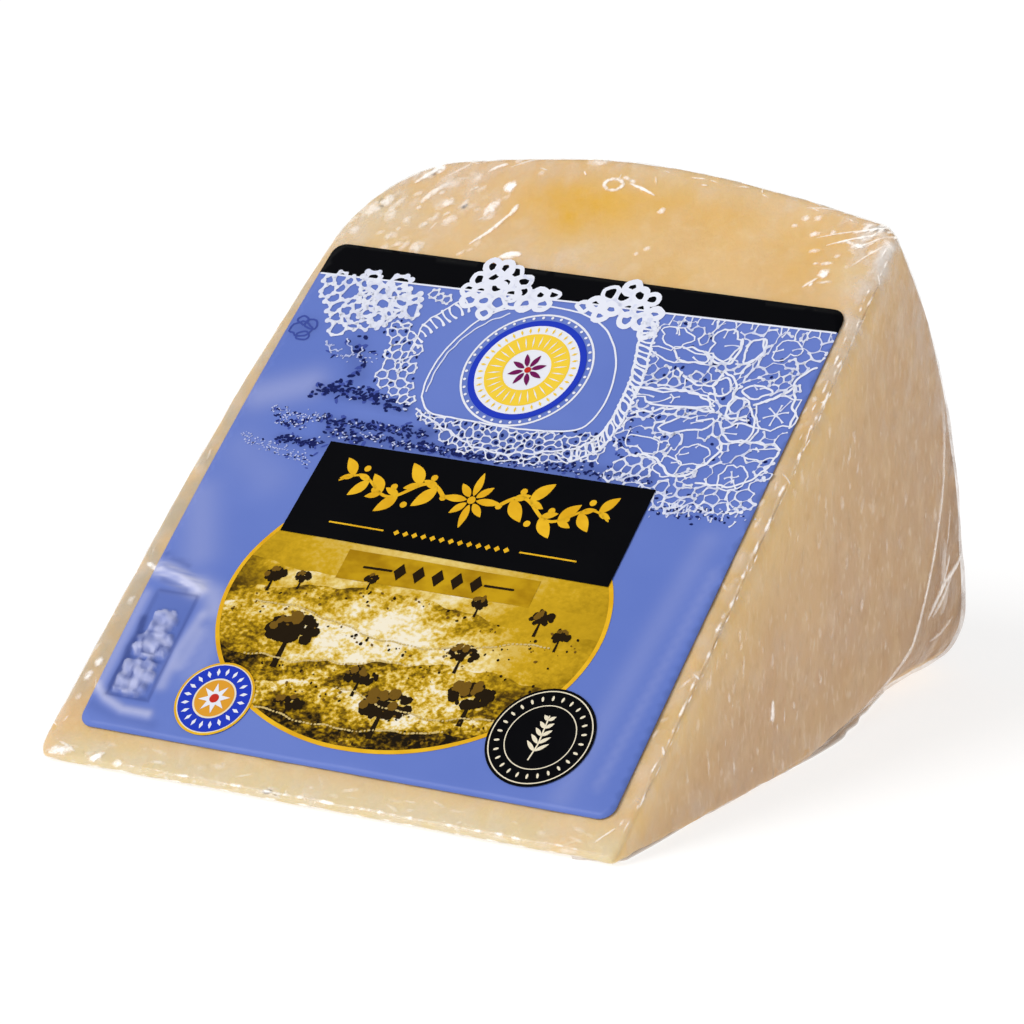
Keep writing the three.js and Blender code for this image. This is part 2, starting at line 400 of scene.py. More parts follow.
def patch_tree():
    """A patch on each point, turned and sized by the point's attributes, that fades from its middle."""
    tree, given = new_tree("patches", "GeometryNodeTree", {
        "Geometry": "Geometry", "Corners": 12, "Finer": 0, "Dome": 0.0, "Material": "Material",
    }, {"Geometry": "Geometry"})
    disc = node(tree, "GeometryNodeMeshCircle", {"Vertices": given["Corners"], "Radius": 1.0},
        fill_type="TRIANGLE_FAN")
    finer = node(tree, "GeometryNodeSubdivideMesh", {0: disc.outputs[0], "Level": given["Finer"]})
    place = node(tree, "GeometryNodeInputPosition").outputs[0]
    away = node(tree, "ShaderNodeVectorMath", {0: place}, operation="LENGTH").outputs["Value"]
    placed = node(tree, "GeometryNodeInstanceOnPoints", {
        "Points": given["Geometry"], "Instance": arched(tree, finer.outputs[0], away, given["Dome"], "Z"),
        "Rotation": named(tree, "turn", "FLOAT_VECTOR"), "Scale": named(tree, "size", "FLOAT_VECTOR"),
    })
    finish_tree(tree, placed, given)
    return tree


def row_tree():
    """A number of oval or cornered marks set evenly along a line, a little unevenly sized."""
    tree, given = new_tree("row of marks", "GeometryNodeTree", {
        "Geometry": "Geometry", "Count": 10, "Along": 0.5, "Across": 0.5, "Corners": 12,
        "Unevenness": 0.0, "Seed": 0, "Material": "Material",
    }, {"Geometry": "Geometry"})
    curve = node(tree, "GeometryNodeMeshToCurve", {0: given["Geometry"]}).outputs[0]
    points = node(tree, "GeometryNodeResampleCurve", {0: curve, "Count": given["Count"]})
    tangent = node(tree, "GeometryNodeInputTangent").outputs[0]
    turn = node(tree, "FunctionNodeAlignRotationToVector", {"Vector": tangent}, axis="X", pivot_axis="Z")
    low = math_of(tree, "SUBTRACT", 1.0, given["Unevenness"])
    high = math_of(tree, "ADD", 1.0, given["Unevenness"])
    draw = node(tree, "FunctionNodeRandomValue", {"Min": low, "Max": high, "Seed": given["Seed"]},
        data_type="FLOAT")
    along = math_of(tree, "MULTIPLY", given["Along"], draw.outputs["Value"])
    size = node(tree, "ShaderNodeCombineXYZ", {"X": along, "Y": given["Across"], "Z": 1.0})
    disc = node(tree, "GeometryNodeMeshCircle", {"Vertices": given["Corners"], "Radius": 1.0},
        fill_type="NGON")
    placed = node(tree, "GeometryNodeInstanceOnPoints", {
        "Points": points.outputs[0], "Instance": disc.outputs[0], "Rotation": turn.outputs[0],
        "Scale": size.outputs[0],
    })
    finish_tree(tree, placed, given)
    return tree


THREADS, PATCHES, ROWS = thread_tree(), patch_tree(), row_tree()


# ---------------------------------------------------------------- pieces

def to_frame(points):
    """Millimetres from the wheel's axis to metres in the part's frame."""
    return (np.asarray(points, float) + (0, AXIS_Y, 0)) * MM


def within_box(points):
    """Points from the axis, none of them outside the part's box."""
    low, high = (np.array(side) / MM - (0, AXIS_Y, 0) for side in cad_box)
    return np.clip(points, low + 0.01, high - 0.01)


def keep_values(mesh, values, domain="POINT"):
    for name, value in values.items():
        value = np.asarray(value)
        kind, field = ("FLOAT_VECTOR", "vector") if value.ndim == 2 else ("FLOAT", "value")
        if value.dtype == bool:
            kind = "BOOLEAN"
        mesh.attributes.new(name, kind, domain).data.foreach_set(field, value.ravel())


def new_piece(name, points, faces, materials, values=None, corner_values=None, which=None, edges=()):
    """A mesh object of points in the part's frame, with its materials and attributes."""
    mesh = bpy.data.meshes.new(name)
    mesh.from_pydata(np.asarray(points).tolist(), [tuple(map(int, e)) for e in edges],
        [tuple(map(int, f)) for f in faces])
    for material in materials:
        mesh.materials.append(material)
    if which is not None:
        mesh.polygons.foreach_set("material_index", np.asarray(which, np.int32))
    keep_values(mesh, values or {})
    keep_values(mesh, corner_values or {}, "CORNER")
    mesh.polygons.foreach_set("use_smooth", [True] * len(mesh.polygons))
    mesh.update()
    made = bpy.data.objects.new(name, mesh)
    bpy.context.scene.collection.objects.link(made)
    return made


def grown(name, tree, points, edges, values, inputs, place):
    """The piece that a tree makes on points and lines: a plain mesh, put in the part's frame by place."""
    made = new_piece(name, points, [], [], values, edges=edges)
    modifier = made.modifiers.new("grow", "NODES")
    modifier.node_group = tree
    for item in tree.interface.items_tree:
        if item.in_out == "INPUT" and item.name in inputs:
            modifier[item.identifier] = inputs[item.name]
    graph = bpy.context.evaluated_depsgraph_get()
    mesh = bpy.data.meshes.new_from_object(
        made.evaluated_get(graph), preserve_all_data_layers=True, depsgraph=graph)
    made.modifiers.clear()
    made.data = mesh
    mesh.name = name
    flat = np.zeros(len(mesh.vertices) * 3)
    mesh.vertices.foreach_get("co", flat)
    mesh.vertices.foreach_set("co", to_frame(place(flat.reshape(-1, 3))).astype(np.float32).ravel())
    for spare in ("up", "turn", "size", "knot", "width"):
        if spare in mesh.attributes:
            mesh.attributes.remove(mesh.attributes[spare])
    mesh.polygons.foreach_set("use_smooth", [True] * len(mesh.polygons))
    mesh.update()
    return made


def joined(name, pieces):
    """Several pieces made one."""
    first = pieces[0]
    with bpy.context.temp_override(active_object=first, selected_editable_objects=pieces):
        bpy.ops.object.join()
    first.name = first.data.name = name
    return first


# ---------------------------------------------------------------- materials

def print_finish_group():
    """The faint unevenness of a printed film label: its roughness and its small dents."""
    tree, given = new_tree("print finish", "ShaderNodeTree", {"Roughness": 0.3},
        {"Roughness": "Float", "Normal": "Vector"})
    place = node(tree, "ShaderNodeTexCoord").outputs["Object"]
    broad = node(tree, "ShaderNodeTexNoise", {"Vector": place, "Scale": 90.0, "Detail": 3.0})
    change = math_of(tree, "MULTIPLY", math_of(tree, "SUBTRACT", broad.outputs["Fac"], 0.5), 0.12)
    dents = node(tree, "ShaderNodeTexNoise", {"Vector": place, "Scale": 260.0, "Detail": 2.0})
    bump = node(tree, "ShaderNodeBump", {
        "Height": dents.outputs["Fac"], "Strength": 0.12, "Distance": 0.0004,
    })
    ending(tree, {"Roughness": math_of(tree, "ADD", given["Roughness"], change), "Normal": bump.outputs[0]})
    return tree


def patches_group():
    """Cloudy patches between 0 and 1, stretched along an axis."""
    tree, given = new_tree("cloudy patches", "ShaderNodeTree", {
        "Stretch": (1, 1, 1), "Scale": 100.0, "Detail": 3.0, "From": 0.4, "To": 0.6,
    }, {"Value": "Float"})
    place = node(tree, "ShaderNodeTexCoord").outputs["Object"]
    stretched = node(tree, "ShaderNodeVectorMath", {0: place, 1: given["Stretch"]}, operation="MULTIPLY")
    noise = node(tree, "ShaderNodeTexNoise", {
        "Vector": stretched.outputs[0], "Scale": given["Scale"], "Detail": given["Detail"],
        "Roughness": 0.55,
    })
    value = node(tree, "ShaderNodeMapRange", {
        "Value": noise.outputs["Fac"], "From Min": given["From"], "From Max": given["To"],
    }, interpolation_type="SMOOTHSTEP")
    ending(tree, {"Value": value.outputs[0]})
    return tree


PRINT_FINISH, CLOUDS = print_finish_group(), patches_group()


def new_material(name, **settings):
    """A material with one Principled shader whose plain sockets are set by name."""
    made = bpy.data.materials.new(name)
    made.use_nodes = True
    shader = made.node_tree.nodes["Principled BSDF"]
    for key, value in settings.items():
        shader.inputs[key.replace("_", " ")].default_value = value
    return made, made.node_tree, shader


def clouds(tree, scale, low, high, stretch=(1, 1, 1), detail=3.0):
    values = {"Stretch": stretch, "Scale": scale, "Detail": detail, "From": low, "To": high}
    return node(tree, "ShaderNodeGroup", values, node_tree=CLOUDS).outputs["Value"]


def value_of(tree, name):
    return node(tree, "ShaderNodeAttribute", attribute_name=name).outputs["Fac"]


def mixed(tree, share, a, b):
    """Two colours mixed by a share."""
    first, second = (c if isinstance(c, bpy.types.NodeSocket) else (*c, 1) for c in (a, b))
    inputs = {"Factor": share, 6: first, 7: second}
    return node(tree, "ShaderNodeMix", inputs, data_type="RGBA").outputs[2]


def times(tree, *values):
    total = values[0]
    for value in values[1:]:
        total = math_of(tree, "MULTIPLY", total, value)
    return total


def printed(name, colour, roughness=0.32):
    """A print ink of one colour on the label."""
    made, tree, shader = new_material(name, Base_Color=(*colour, 1), Specular_IOR_Level=0.04)
    finish = node(tree, "ShaderNodeGroup", {"Roughness": roughness}, node_tree=PRINT_FINISH)
    tree.links.new(finish.outputs["Roughness"], shader.inputs["Roughness"])
    tree.links.new(finish.outputs["Normal"], shader.inputs["Normal"])
    return made, tree, shader


def roughen(tree, shader, height, strength, distance):
    """Small bumps on a material."""
    bump = node(tree, "ShaderNodeBump", {"Height": height, "Strength": strength, "Distance": distance})
    tree.links.new(bump.outputs[0], shader.inputs["Normal"])


def cheese_material():
    """Cheese: its two cut faces and its rind."""
    made, tree, shader = new_material(
        "filmed_cheese", Roughness=0.55, Specular_IOR_Level=0.2, Subsurface_Weight=0.15,
        Subsurface_Radius=(1.0, 0.55, 0.25), Subsurface_Scale=0.003,
    )
    # The cut faces: cream, with yellow blotches, pale places and faint curd marks.
    cut = mixed(tree, clouds(tree, 70, 0.35, 0.65), (0.765, 0.51, 0.235), (0.73, 0.47, 0.21))
    cut = mixed(tree, times(tree, clouds(tree, 130, 0.5, 0.7, detail=5), 0.38), cut, (0.73, 0.43, 0.10))
    cut = mixed(tree, times(tree, clouds(tree, 420, 0.45, 0.75, detail=4), 0.30), cut, (0.82, 0.64, 0.41))
    uneven = math_of(tree, "ADD", 0.65, times(tree, clouds(tree, 160, 0.3, 0.7, detail=4), 0.5))
    cut = mixed(tree, times(tree, value_of(tree, "warm"), uneven), cut, (0.77, 0.42, 0.03))
    cut = mixed(tree, value_of(tree, "pale"), cut, (0.725, 0.595, 0.335))
    cut = mixed(tree, value_of(tree, "honey"), cut, (0.66, 0.43, 0.16))
    # Greyer and darker along the left edge where the face turns away: painted shade, greyed as the film's
    # haze.
    cut = mixed(tree, value_of(tree, "hazy_left_shade"), cut, (0.46, 0.385, 0.275))
    # The rind: tan, mottled, with short pale and dark flecks that stand upright.
    rind = mixed(tree, clouds(tree, 60, 0.35, 0.68, (1, 1, 0.8)), (0.69, 0.445, 0.22), (0.625, 0.40, 0.225))
    rind = mixed(tree, value_of(tree, "rimward"), rind, (0.49, 0.30, 0.165))
    for scale, low, high, upright, detail, share, colour in (
        (190, 0.45, 0.75, 0.8, 4, 0.40, (0.58, 0.33, 0.13)),
        (330, 0.45, 0.75, 0.7, 5, 0.35, (0.78, 0.57, 0.34)),
        (900, 0.50, 0.75, 0.55, 4, 0.40, (0.46, 0.27, 0.12)),
        (1500, 0.56, 0.70, 0.4, 3, 0.45, (0.76, 0.59, 0.41)),
    ):
        patches = clouds(tree, scale, low, high, (1, 1, upright), detail)
        rind = mixed(tree, times(tree, patches, share), rind, colour)
    # A yellow band along the rind's upper edge, brightened as a painted highlight of the film along that
    # edge.
    rind = mixed(tree, value_of(tree, "edge"), rind, (0.83, 0.55, 0.195))
    tree.links.new(mixed(tree, value_of(tree, "rind"), cut, rind), shader.inputs["Base Color"])
    fine = times(tree, clouds(tree, 1200, 0.2, 0.8, (1, 1, 0.5)), 0.5)
    height = math_of(tree, "ADD", clouds(tree, 330, 0.2, 0.8, (1, 1, 0.7), 4), fine)
    roughen(tree, shader, height, 0.35, 0.0002)
    return made


def film_material():
    """Clear film that clings: barely seen where it is taut, whitish or greyish where it stands off, and
    whitish along edges and in soft spots as painted sheen.
    """
    made, tree, shader = new_material("film", Roughness=0.12)
    colour = mixed(tree, value_of(tree, "tint"), (0.97, 0.93, 0.88), (0.60, 0.435, 0.31))
    tree.links.new(colour, shader.inputs["Base Color"])
    cloudy = math_of(tree, "ADD", 0.3, times(tree, clouds(tree, 380, 0.36, 0.68, (1, 1, 0.7), 5), 1.1))
    rim = node(tree, "ShaderNodeLayerWeight", {"Blend": 0.25}).outputs["Facing"]
    hazy = times(tree, value_of(tree, "haze_and_sheen"), cloudy, 0.85)
    covers = math_of(tree, "ADD", hazy, times(tree, rim, rim, 0.11))
    alpha = math_of(tree, "ADD", 0.015, covers)
    tree.links.new(math_of(tree, "MINIMUM", alpha, 0.92), shader.inputs["Alpha"])
    roughen(tree, shader, clouds(tree, 420, 0.2, 0.8, (1, 1, 0.7), 3), 0.45, 0.0003)
    return made


def film_mark_material():
    """Film that stands off the cheese in small pockets and folds: whitish and glossy, with soft borders, and
    glowing a little as a painted highlight.
    """
    made, tree, shader = new_material("film_marks_and_highlights", Base_Color=(1.0, 0.97, 0.93, 1), Roughness=0.2)
    # A faint glow that is no lamp: painted highlight.
    shader.inputs["Emission Color"].default_value = (1.0, 0.97, 0.94, 1)
    shader.inputs["Emission Strength"].default_value = 0.26
    ragged = times(tree, math_of(tree, "SUBTRACT", clouds(tree, 1500, 0.25, 0.75, detail=5), 0.5), 0.5)
    fade = value_of(tree, "fade")
    level = math_of(tree, "ADD", times(tree, fade, fade), ragged)
    ends = {"Value": level, "From Min": 0.05, "From Max": 1.0}
    cover = node(tree, "ShaderNodeMapRange", ends, interpolation_type="SMOOTHSTEP").outputs[0]
    tree.links.new(times(tree, cover, value_of(tree, "strength")), shader.inputs["Alpha"])
    return made


def blue_material():
    made, tree, shader = printed("label_blue", (0.13, 0.2, 0.58), 0.34)
    shader.inputs["Specular IOR Level"].default_value = 0.15
    body = mixed(tree, clouds(tree, 30, 0.3, 0.7), (0.142, 0.212, 0.59), (0.118, 0.186, 0.555))
    # Lighter by the first attribute: painted sheen and highlights over the film's haze; darker by the shade
    # attribute: painted shade.
    body = mixed(tree, value_of(tree, "haze_and_sheen"), body, (0.56, 0.58, 0.80))
    body = mixed(tree, value_of(tree, "shade"), body, (0.035, 0.06, 0.24))
    tree.links.new(body, shader.inputs["Base Color"])
    return made


def gold_material(name, bright, deep):
    """Gold ink, brighter in places."""
    made, tree, shader = printed(name, bright, 0.3)
    colour = mixed(tree, clouds(tree, 240, 0.3, 0.7, (1, 1, 2)), bright, deep)
    tree.links.new(colour, shader.inputs["Base Color"])
    return made


def lace_material():
    """White ink, let down with blue where the threads are thin."""
    made, tree, shader = printed("lace_white", (0.8, 0.82, 0.92), 0.4)
    colour = mixed(tree, value_of(tree, "strength"), (0.25, 0.33, 0.72), (0.80, 0.82, 0.92))
    tree.links.new(colour, shader.inputs["Base Color"])
    return made


def picture_material():
    """The picture's ground, from dark brown by gold to cream, as coarse as an old print."""
    made, tree, shader = printed("picture_print", (0.5, 0.33, 0.07), 0.4)
    tone = value_of(tree, "tone")
    fine = times(tree, clouds(tree, 1500, 0.3, 0.7, (1, 1, 1.6), 4), 0.62)
    broad = times(tree, clouds(tree, 420, 0.25, 0.75, (1, 1, 1.6), 5), 0.55)
    grain = math_of(tree, "ADD", fine, broad)
    coarse = times(tree, math_of(tree, "SUBTRACT", grain, 0.585), value_of(tree, "roughness_of_ground"))
    ramp = node(tree, "ShaderNodeValToRGB", {"Fac": math_of(tree, "ADD", tone, coarse)})
    stops = (
        (0.00, (0.010, 0.006, 0.002)), (0.26, (0.11, 0.060, 0.003)), (0.46, (0.34, 0.20, 0.004)),
        (0.62, (0.60, 0.36, 0.012)), (0.80, (0.80, 0.61, 0.20)), (1.00, (0.90, 0.82, 0.64)),
    )
    elements = ramp.color_ramp.elements
    while len(elements) < len(stops):
        elements.new(0.5)
    for element, (position, colour) in zip(elements, stops):
        element.position, element.color = position, (*colour, 1)
    tree.links.new(ramp.outputs[0], shader.inputs["Base Color"])
    return made


CHEESE = cheese_material()
FILM = film_material()
FILM_MARKS_AND_HIGHLIGHTS = film_mark_material()
BLUE = blue_material()
GOLD = gold_material("gold_ink", (0.84, 0.49, 0.022), (0.72, 0.38, 0.012))
RIBBON_GOLD = gold_material("ribbon_gold", (0.56, 0.33, 0.008), (0.36, 0.19, 0.003))
LACE = lace_material()
PICTURE = picture_material()
BLACK = printed("label_black", (0.0015, 0.0016, 0.0026), 0.3)[0]
WHITE = printed("white_ink", (0.8, 0.81, 0.88), 0.4)[0]
DEEP_BLUE = printed("deep_blue", (0.018, 0.045, 0.50))[0]
YELLOW = printed("yellow_ink", (0.90, 0.62, 0.05))[0]
CREAM = printed("cream_ink", (0.82, 0.74, 0.56))[0]
PLUM = printed("plum_ink", (0.16, 0.01, 0.09))[0]
RED = printed("red_ink", (0.55, 0.03, 0.02))[0]
ORANGE = printed("orange_ink", (0.72, 0.33, 0.03))[0]
BROWN = printed("brown_ink", (0.016, 0.009, 0.003))[0]
SEPIA = printed("sepia_ink", (0.17, 0.09, 0.010))[0]
STONE = printed("stone_ink", (0.62, 0.47, 0.19))[0]
NAVY = printed("navy_ink", (0.010, 0.016, 0.10))[0]
MID_BLUE = printed("mid_blue", (0.055, 0.085, 0.36))[0]
PALE_BLUE = printed("pale_blue", (0.50, 0.55, 0.82))[0]


# ---------------------------------------------------------------- cheese and film

def wedge_grid():
    """The wedge's skin, finest along its edges: points on the surface, the ways out there, and faces."""
    fine, coarse, reach = 0.3, 1.15, 7.0
    cut_length, rim_length = RIM_RADIUS - TIP_RADIUS, RIM_RADIUS * WEDGE_ANGLE
    across = graded(2 * HALF_HEIGHT, fine, coarse, reach) - HALF_HEIGHT
    along_cut = (graded(cut_length, fine, coarse, reach) / cut_length)[:-1]
    along_rim = (graded(rim_length, fine, coarse, reach) / rim_length)[:-1]
    tip = TIP_RADIUS * 0.9
    rows = []
    for x in across:
        radius = float(rim_radius(x, 0))
        out = tip + (radius - tip) * along_cut
        back = radius + (tip - radius) * along_cut
        turn, tip_turn = WEDGE_ANGLE * along_rim, WEDGE_ANGLE * (1 - np.arange(4) / 4)
        y = np.concatenate([out, radius * np.cos(turn), back * COS, tip * np.cos(tip_turn)])
        z = np.concatenate([0 * out, radius * np.sin(turn), back * SIN, tip * np.sin(tip_turn)])
        rows.append(np.column_stack([np.full(len(y), x), y, z]))
    count = len(rows[0])
    points, faces = list(np.concatenate(rows)), []
    for i in range(len(rows) - 1):
        for j in range(count):
            k = (j + 1) % count
            faces.append((i * count + j, i * count + k, (i + 1) * count + k, (i + 1) * count + j))
    for row, x in ((0, -HALF_HEIGHT), (len(rows) - 1, HALF_HEIGHT)):
        edge = rows[row][:, 1:]
        radius = np.hypot(edge[:, 0], edge[:, 1]).max()

        def depth(p):
            upper = p[:, 0] * SIN - p[:, 1] * COS
            return np.minimum.reduce([p[:, 1], upper, radius - np.hypot(p[:, 0], p[:, 1])])

        way = np.roll(edge, -1, 0) - np.roll(edge, 1, 0)
        inward = np.column_stack([-way[:, 1], way[:, 0]]) / np.linalg.norm(way, axis=1)[:, None]
        layers = []
        for k, step in enumerate((0.3, 0.65, 1.1, 1.65, 2.3, 3.1, 4.0, 5.0)):
            layer = edge + inward * step
            layer = layer[depth(layer) > 0.97 * step]
            layers.append(layer[:: 1 if k < 4 else 2])
        grid = staggered((0, 0), (radius, 70), coarse, coarse * 0.87)
        layers.append(grid[depth(grid) > 5.6])
        inner = np.concatenate(layers)
        first = len(points)
        flat = np.concatenate([edge, inner])
        loop = [(j, (j + 1) % count) for j in range(count)]
        _, cap, origin = triangles(flat, loop)
        home = [row * count + o[0] if o[0] < count else first + o[0] - count for o in origin]
        points += [np.array((x, *p)) for p in inner]
        side = 1 if x > 0 else -1
        faces += [tuple(home[c] for c in face[::side]) for face in cap]
    surface, out = on_surface(np.array(points))
    return surface, out, faces


def beyond_seam(points):
    """Whether points lie beyond the loose film's upper edge on the right face, and how far from it."""
    seam = np.array(SEAM, float)
    area = np.concatenate([seam, [(130, 44), (130, -20), (8, -20)]])
    flat = points[:, 1:]
    away = nearest(flat, spaced(seam, 0.5, closed=False))
    return inside([area], flat), away


def spot(points, x, v, reach, stretch=1.0, turn=0.0):
    """A soft spot on the upper cut, 1 at its middle."""
    dx, dv = points[:, 0] - x, points[:, 1] * COS + points[:, 2] * SIN - v
    along = dx * math.cos(turn) + dv * math.sin(turn)
    across = -dx * math.sin(turn) + dv * math.cos(turn)
    return np.exp(-((along / (reach * stretch)) ** 2 + (across / reach) ** 2))


surface, out, wedge_faces = wedge_grid()
depth = depths(surface)
cut_depth = np.minimum(depth["upper"], depth["lower"])
skin_depth = np.minimum.reduce([depth["rim"], depth["right"], depth["left"]])
up_slope = surface[:, 1] * COS + surface[:, 2] * SIN
is_beyond, seam_away = beyond_seam(surface)
to_side, height = surface[:, 0], surface[:, 2]
by_right = smooth(22, 37, to_side)
low_right = is_beyond * by_right * (1 - smooth(30, 44, height))
loose = low_right * smooth(0, 4.5, seam_away)
upper_face = 1 - smooth(0.3, 2.5, depth["upper"])
second_depth = np.sort(np.stack(list(depth.values())), 0)[1]  # small along the wedge's edges alone
edges_near = 1 - smooth(0.3, 6, second_depth)
rounding = 1 - smooth(0.0, 2.5, second_depth)

cheese_relief = (
    0.05 * ripple(surface, 9, 11) + 0.03 * ripple(surface, 3.2, 12)
    + 0.06 * (1 - upper_face) * ripple(surface * (1, 1, 0.5), 5, 13)
)
by_left = 0.4 * smooth(-39.2, -39.9, to_side) * (1 - smooth(40, 70, surface[:, 1]))
by_left += 0.6 * np.exp(-((to_side + 40) ** 2 + surface[:, 1] ** 2) / 5)
cheese_sink = by_left + CHEESE_DEPTH + WEB_DEPTH * loose + np.clip(cheese_relief, -0.08, 0.15)
cheese_points = surface - out * cheese_sink[:, None]


def spots(*each):
    """Soft spots on the upper cut, added up: how strong each is, then as spot takes it."""
    return sum(level * spot(surface, *where) for level, *where in each)


def patchy(base, change, size, seed):
    """Shares that change softly over the wedge's skin."""
    return np.clip(base + change * ripple(surface, size, seed), 0, 1)


warm = spots(
    (0.95, -5.5, 90.3, 4.2, 1.7), (0.35, 3.5, 92.5, 4, 2), (0.40, 31, 87, 4.5),
    (0.55, -29.5, 4.0, 2.2, 2.4), (0.18, 16, 90, 6, 2),
)
lower_strip = (1 - smooth(2.5, 7.5, up_slope)) * smooth(-41, -33, to_side)
pale = 0.9 * lower_strip * (1 - 0.55 * spot(surface, 33, 3, 3.5)) + spots(
    (0.5, -33, 86, 6, 1.3), (0.25, 11, 96, 3, 5), (0.35, 35.5, 84.5, 3.5), (0.2, -3, 83, 3, 4),
)
right_strip = smooth(35.8, 37.6, to_side) * (1 - smooth(72, 86, up_slope)) * smooth(3, 9, up_slope)
# The strip along the left edge, which gets the painted shade.
left_strip = (1 - smooth(-37.2, -34.6, to_side)) * (1 - smooth(70, 84, up_slope)) * smooth(6, 14, up_slope)
below_cut = np.maximum(depth["upper"], 0)
# The band along the rind's upper edge: yellow, and lighter as a painted highlight.
along_edge = np.exp(-(below_cut / 5.2) ** 1.3) * (1 - 0.25 * smooth(60, 95, up_slope))
from_axis = np.hypot(surface[:, 1], surface[:, 2])
rimward = 0.75 * smooth(40, 92, from_axis) * (1 - np.exp(-depth["upper"] / 12))
rimward += 0.34 * (1 - smooth(1, 20, height)) * (1 - np.exp(-depth["upper"] / 8))

cheese = new_piece("cheese", to_frame(cheese_points), wedge_faces, [CHEESE], {
    "rind": smooth(-0.9, 0.9, cut_depth - skin_depth),
    "warm": np.clip(warm + 0.12 * patchy(0, 1, 14, 21), 0, 1) * upper_face,
    "pale": np.clip(pale, 0, 1),
    "honey": 0.85 * right_strip * patchy(0.7, 0.4, 4, 24),
    "hazy_left_shade": 0.85 * left_strip * patchy(0.75, 0.3, 5, 22) * upper_face,
    "edge": along_edge * patchy(0.9, 0.15, 6, 23),
    "rimward": rimward,
})

corner_wrinkles = np.clip(spots((1, 38, 93, 9), (1, -33, 93, 8), (0.6, -38, 4, 7), (0.5, 38, 4, 6)), 0, 1)
film_relief = (
    0.05 * edges_near * ripple(surface, 2.6, 31)
    + 0.10 * rounding * ripple(surface, 4.5, 32)
    + 0.07 * corner_wrinkles * ripple(surface * (0.5, 1, 1), 1.7, 33)
    + 0.22 * loose * ripple(surface * (1, 1, 0.6), 5, 34)
)
film_sink = by_left + FILM_DEPTH - np.clip(film_relief, -0.05 - 0.2 * loose, 0.03)
film_points = surface - out * film_sink[:, None]
web = low_right * smooth(0, 0.8, seam_away)
painted_sheen_spots = spots(
    (0.26, -32, 88, 7, 1.5, 0.8), (0.16, -20, 89, 6), (0.28, -34, 96, 5), (0.40, 36.5, 89, 5),
    (0.25, 38, 80, 2, 4, 1.57), (0.20, -4, 81.5, 2.5, 3),
)
# Whitish along the edges and in soft spots: painted sheen and reflections; greyish where the loose film
# stands off.
haze_and_sheen = (0.12 + 0.08 * upper_face) * edges_near + 0.29 * web + 0.06 * patchy(0, 1, 7, 35)
haze_and_sheen += (0.4 + 0.6 * upper_face) * painted_sheen_spots
film = new_piece("film", to_frame(within_box(film_points)), wedge_faces, [FILM],
    {"haze_and_sheen": np.clip(haze_and_sheen, 0, 1), "tint": web})


def lip_edge(distance):
    """How far out the film's sealed lip lies on the floor, at a distance from the axis."""
    edge = LIP_REACH + 0.7 * bell(distance, 48, 11)
    edge += -smooth(8, 34, distance) - 4.6 * smooth(55, 82, distance)
    notches = 0.35 * bell(distance, 60.5, 1.8) + 0.3 * bell(distance, 66.6, 1.6)
    ends = smooth(1.2, 4.2, distance) * smooth(78, 75, distance)
    return LIP_ROOT + (edge - notches - LIP_ROOT) * np.sqrt(ends)


def film_lip():
    """The film's sealed lip: a thin sheet on the floor along the lower edge of the right face."""
    along, across = np.arange(LIP_START, LIP_END, 0.4), np.linspace(0, 1, 12)
    top, under = [], []
    for distance in along:
        reach = float(lip_edge(distance))
        for t in across:
            x = blend(LIP_ROOT, reach, t)
            top.append((x, distance, LIP_THICKNESS - LIP_THINNING * t**3))
            under.append((x, distance, LIP_UNDER))
    wide, total = len(across), len(top)
    faces = []
    for i in range(len(along) - 1):
        for j in range(wide - 1):
            a = i * wide + j
            quad = (a, a + 1, a + wide + 1, a + wide)
            faces += [quad, tuple(total + c for c in quad[::-1])]
    border = [i * wide for i in range(len(along))][::-1] + list(range(1, wide))
    border += [i * wide + wide - 1 for i in range(1, len(along))]
    border += [(len(along) - 1) * wide + j for j in range(wide - 2, 0, -1)]
    for a, b in zip(border, border[1:] + border[:1]):
        faces.append((b, a, total + a, total + b))
    points = np.array(top + under)
    return new_piece("film_lip", to_frame(points), faces, [FILM], {
        "haze_and_sheen": np.full(len(points), LIP_HAZE), "tint": np.full(len(points), LIP_TINT),
    })


lip = film_lip()


# Folds and pockets of the film.

def on_cut(x, v, lift=0.0):
    """Places over the upper cut, in millimetres from the axis."""
    x, v = np.broadcast_arrays(np.asarray(x, float), np.asarray(v, float))
    return np.stack([x, v * COS - lift * SIN, v * SIN + lift * COS], -1)


def lay(points, lift):
    """Points laid on the surface and lifted a little, with the ways out there."""
    places, way = on_surface(np.atleast_2d(points))
    return places + way * lift, way


class Lines:
    """Lines gathered for the thread tree."""

    def __init__(self):
        self.points, self.edges, self.values = [], [], {"width": [], "up": [], "strength": [], "knot": []}

    def add(self, points, width, strength=1.0, up=None, closed=False, knots=False):
        points = np.asarray(points, float)
        first, count = len(self.points), len(points)
        self.points += points.tolist()
        self.edges += [(first + i, first + i + 1) for i in range(count - 1)]
        if closed:
            self.edges.append((first + count - 1, first))
        self.values["width"] += np.broadcast_to(width, count).tolist()
        self.values["strength"] += np.broadcast_to(strength, count).tolist()
        self.values["up"] += np.broadcast_to((0.0, 0.0, 1.0) if up is None else up, (count, 3)).tolist()
        self.values["knot"] += [knots and i in (0, count - 1) for i in range(count)]

    def make(self, name, material, place=lambda p: p, across=2, arch=0.0):
        values = {key: np.array(value, float) for key, value in self.values.items()}
        values["knot"] = values["knot"] > 0
        inputs = {"Arch": arch, "Points Across": across, "Material": material}
        return grown(name, THREADS, np.array(self.points), self.edges, values, inputs, place)


def dashes(length, count, seed, low=0.0):
    """A strength along a line that comes and goes."""
    s = np.linspace(0, length, count)[:, None]
    wave = ripple(s, 5.0, seed) + 0.7 * ripple(s, 1.9, seed + 1)
    return np.clip(low + smooth(-0.1, 1.3, wave), 0, 1)


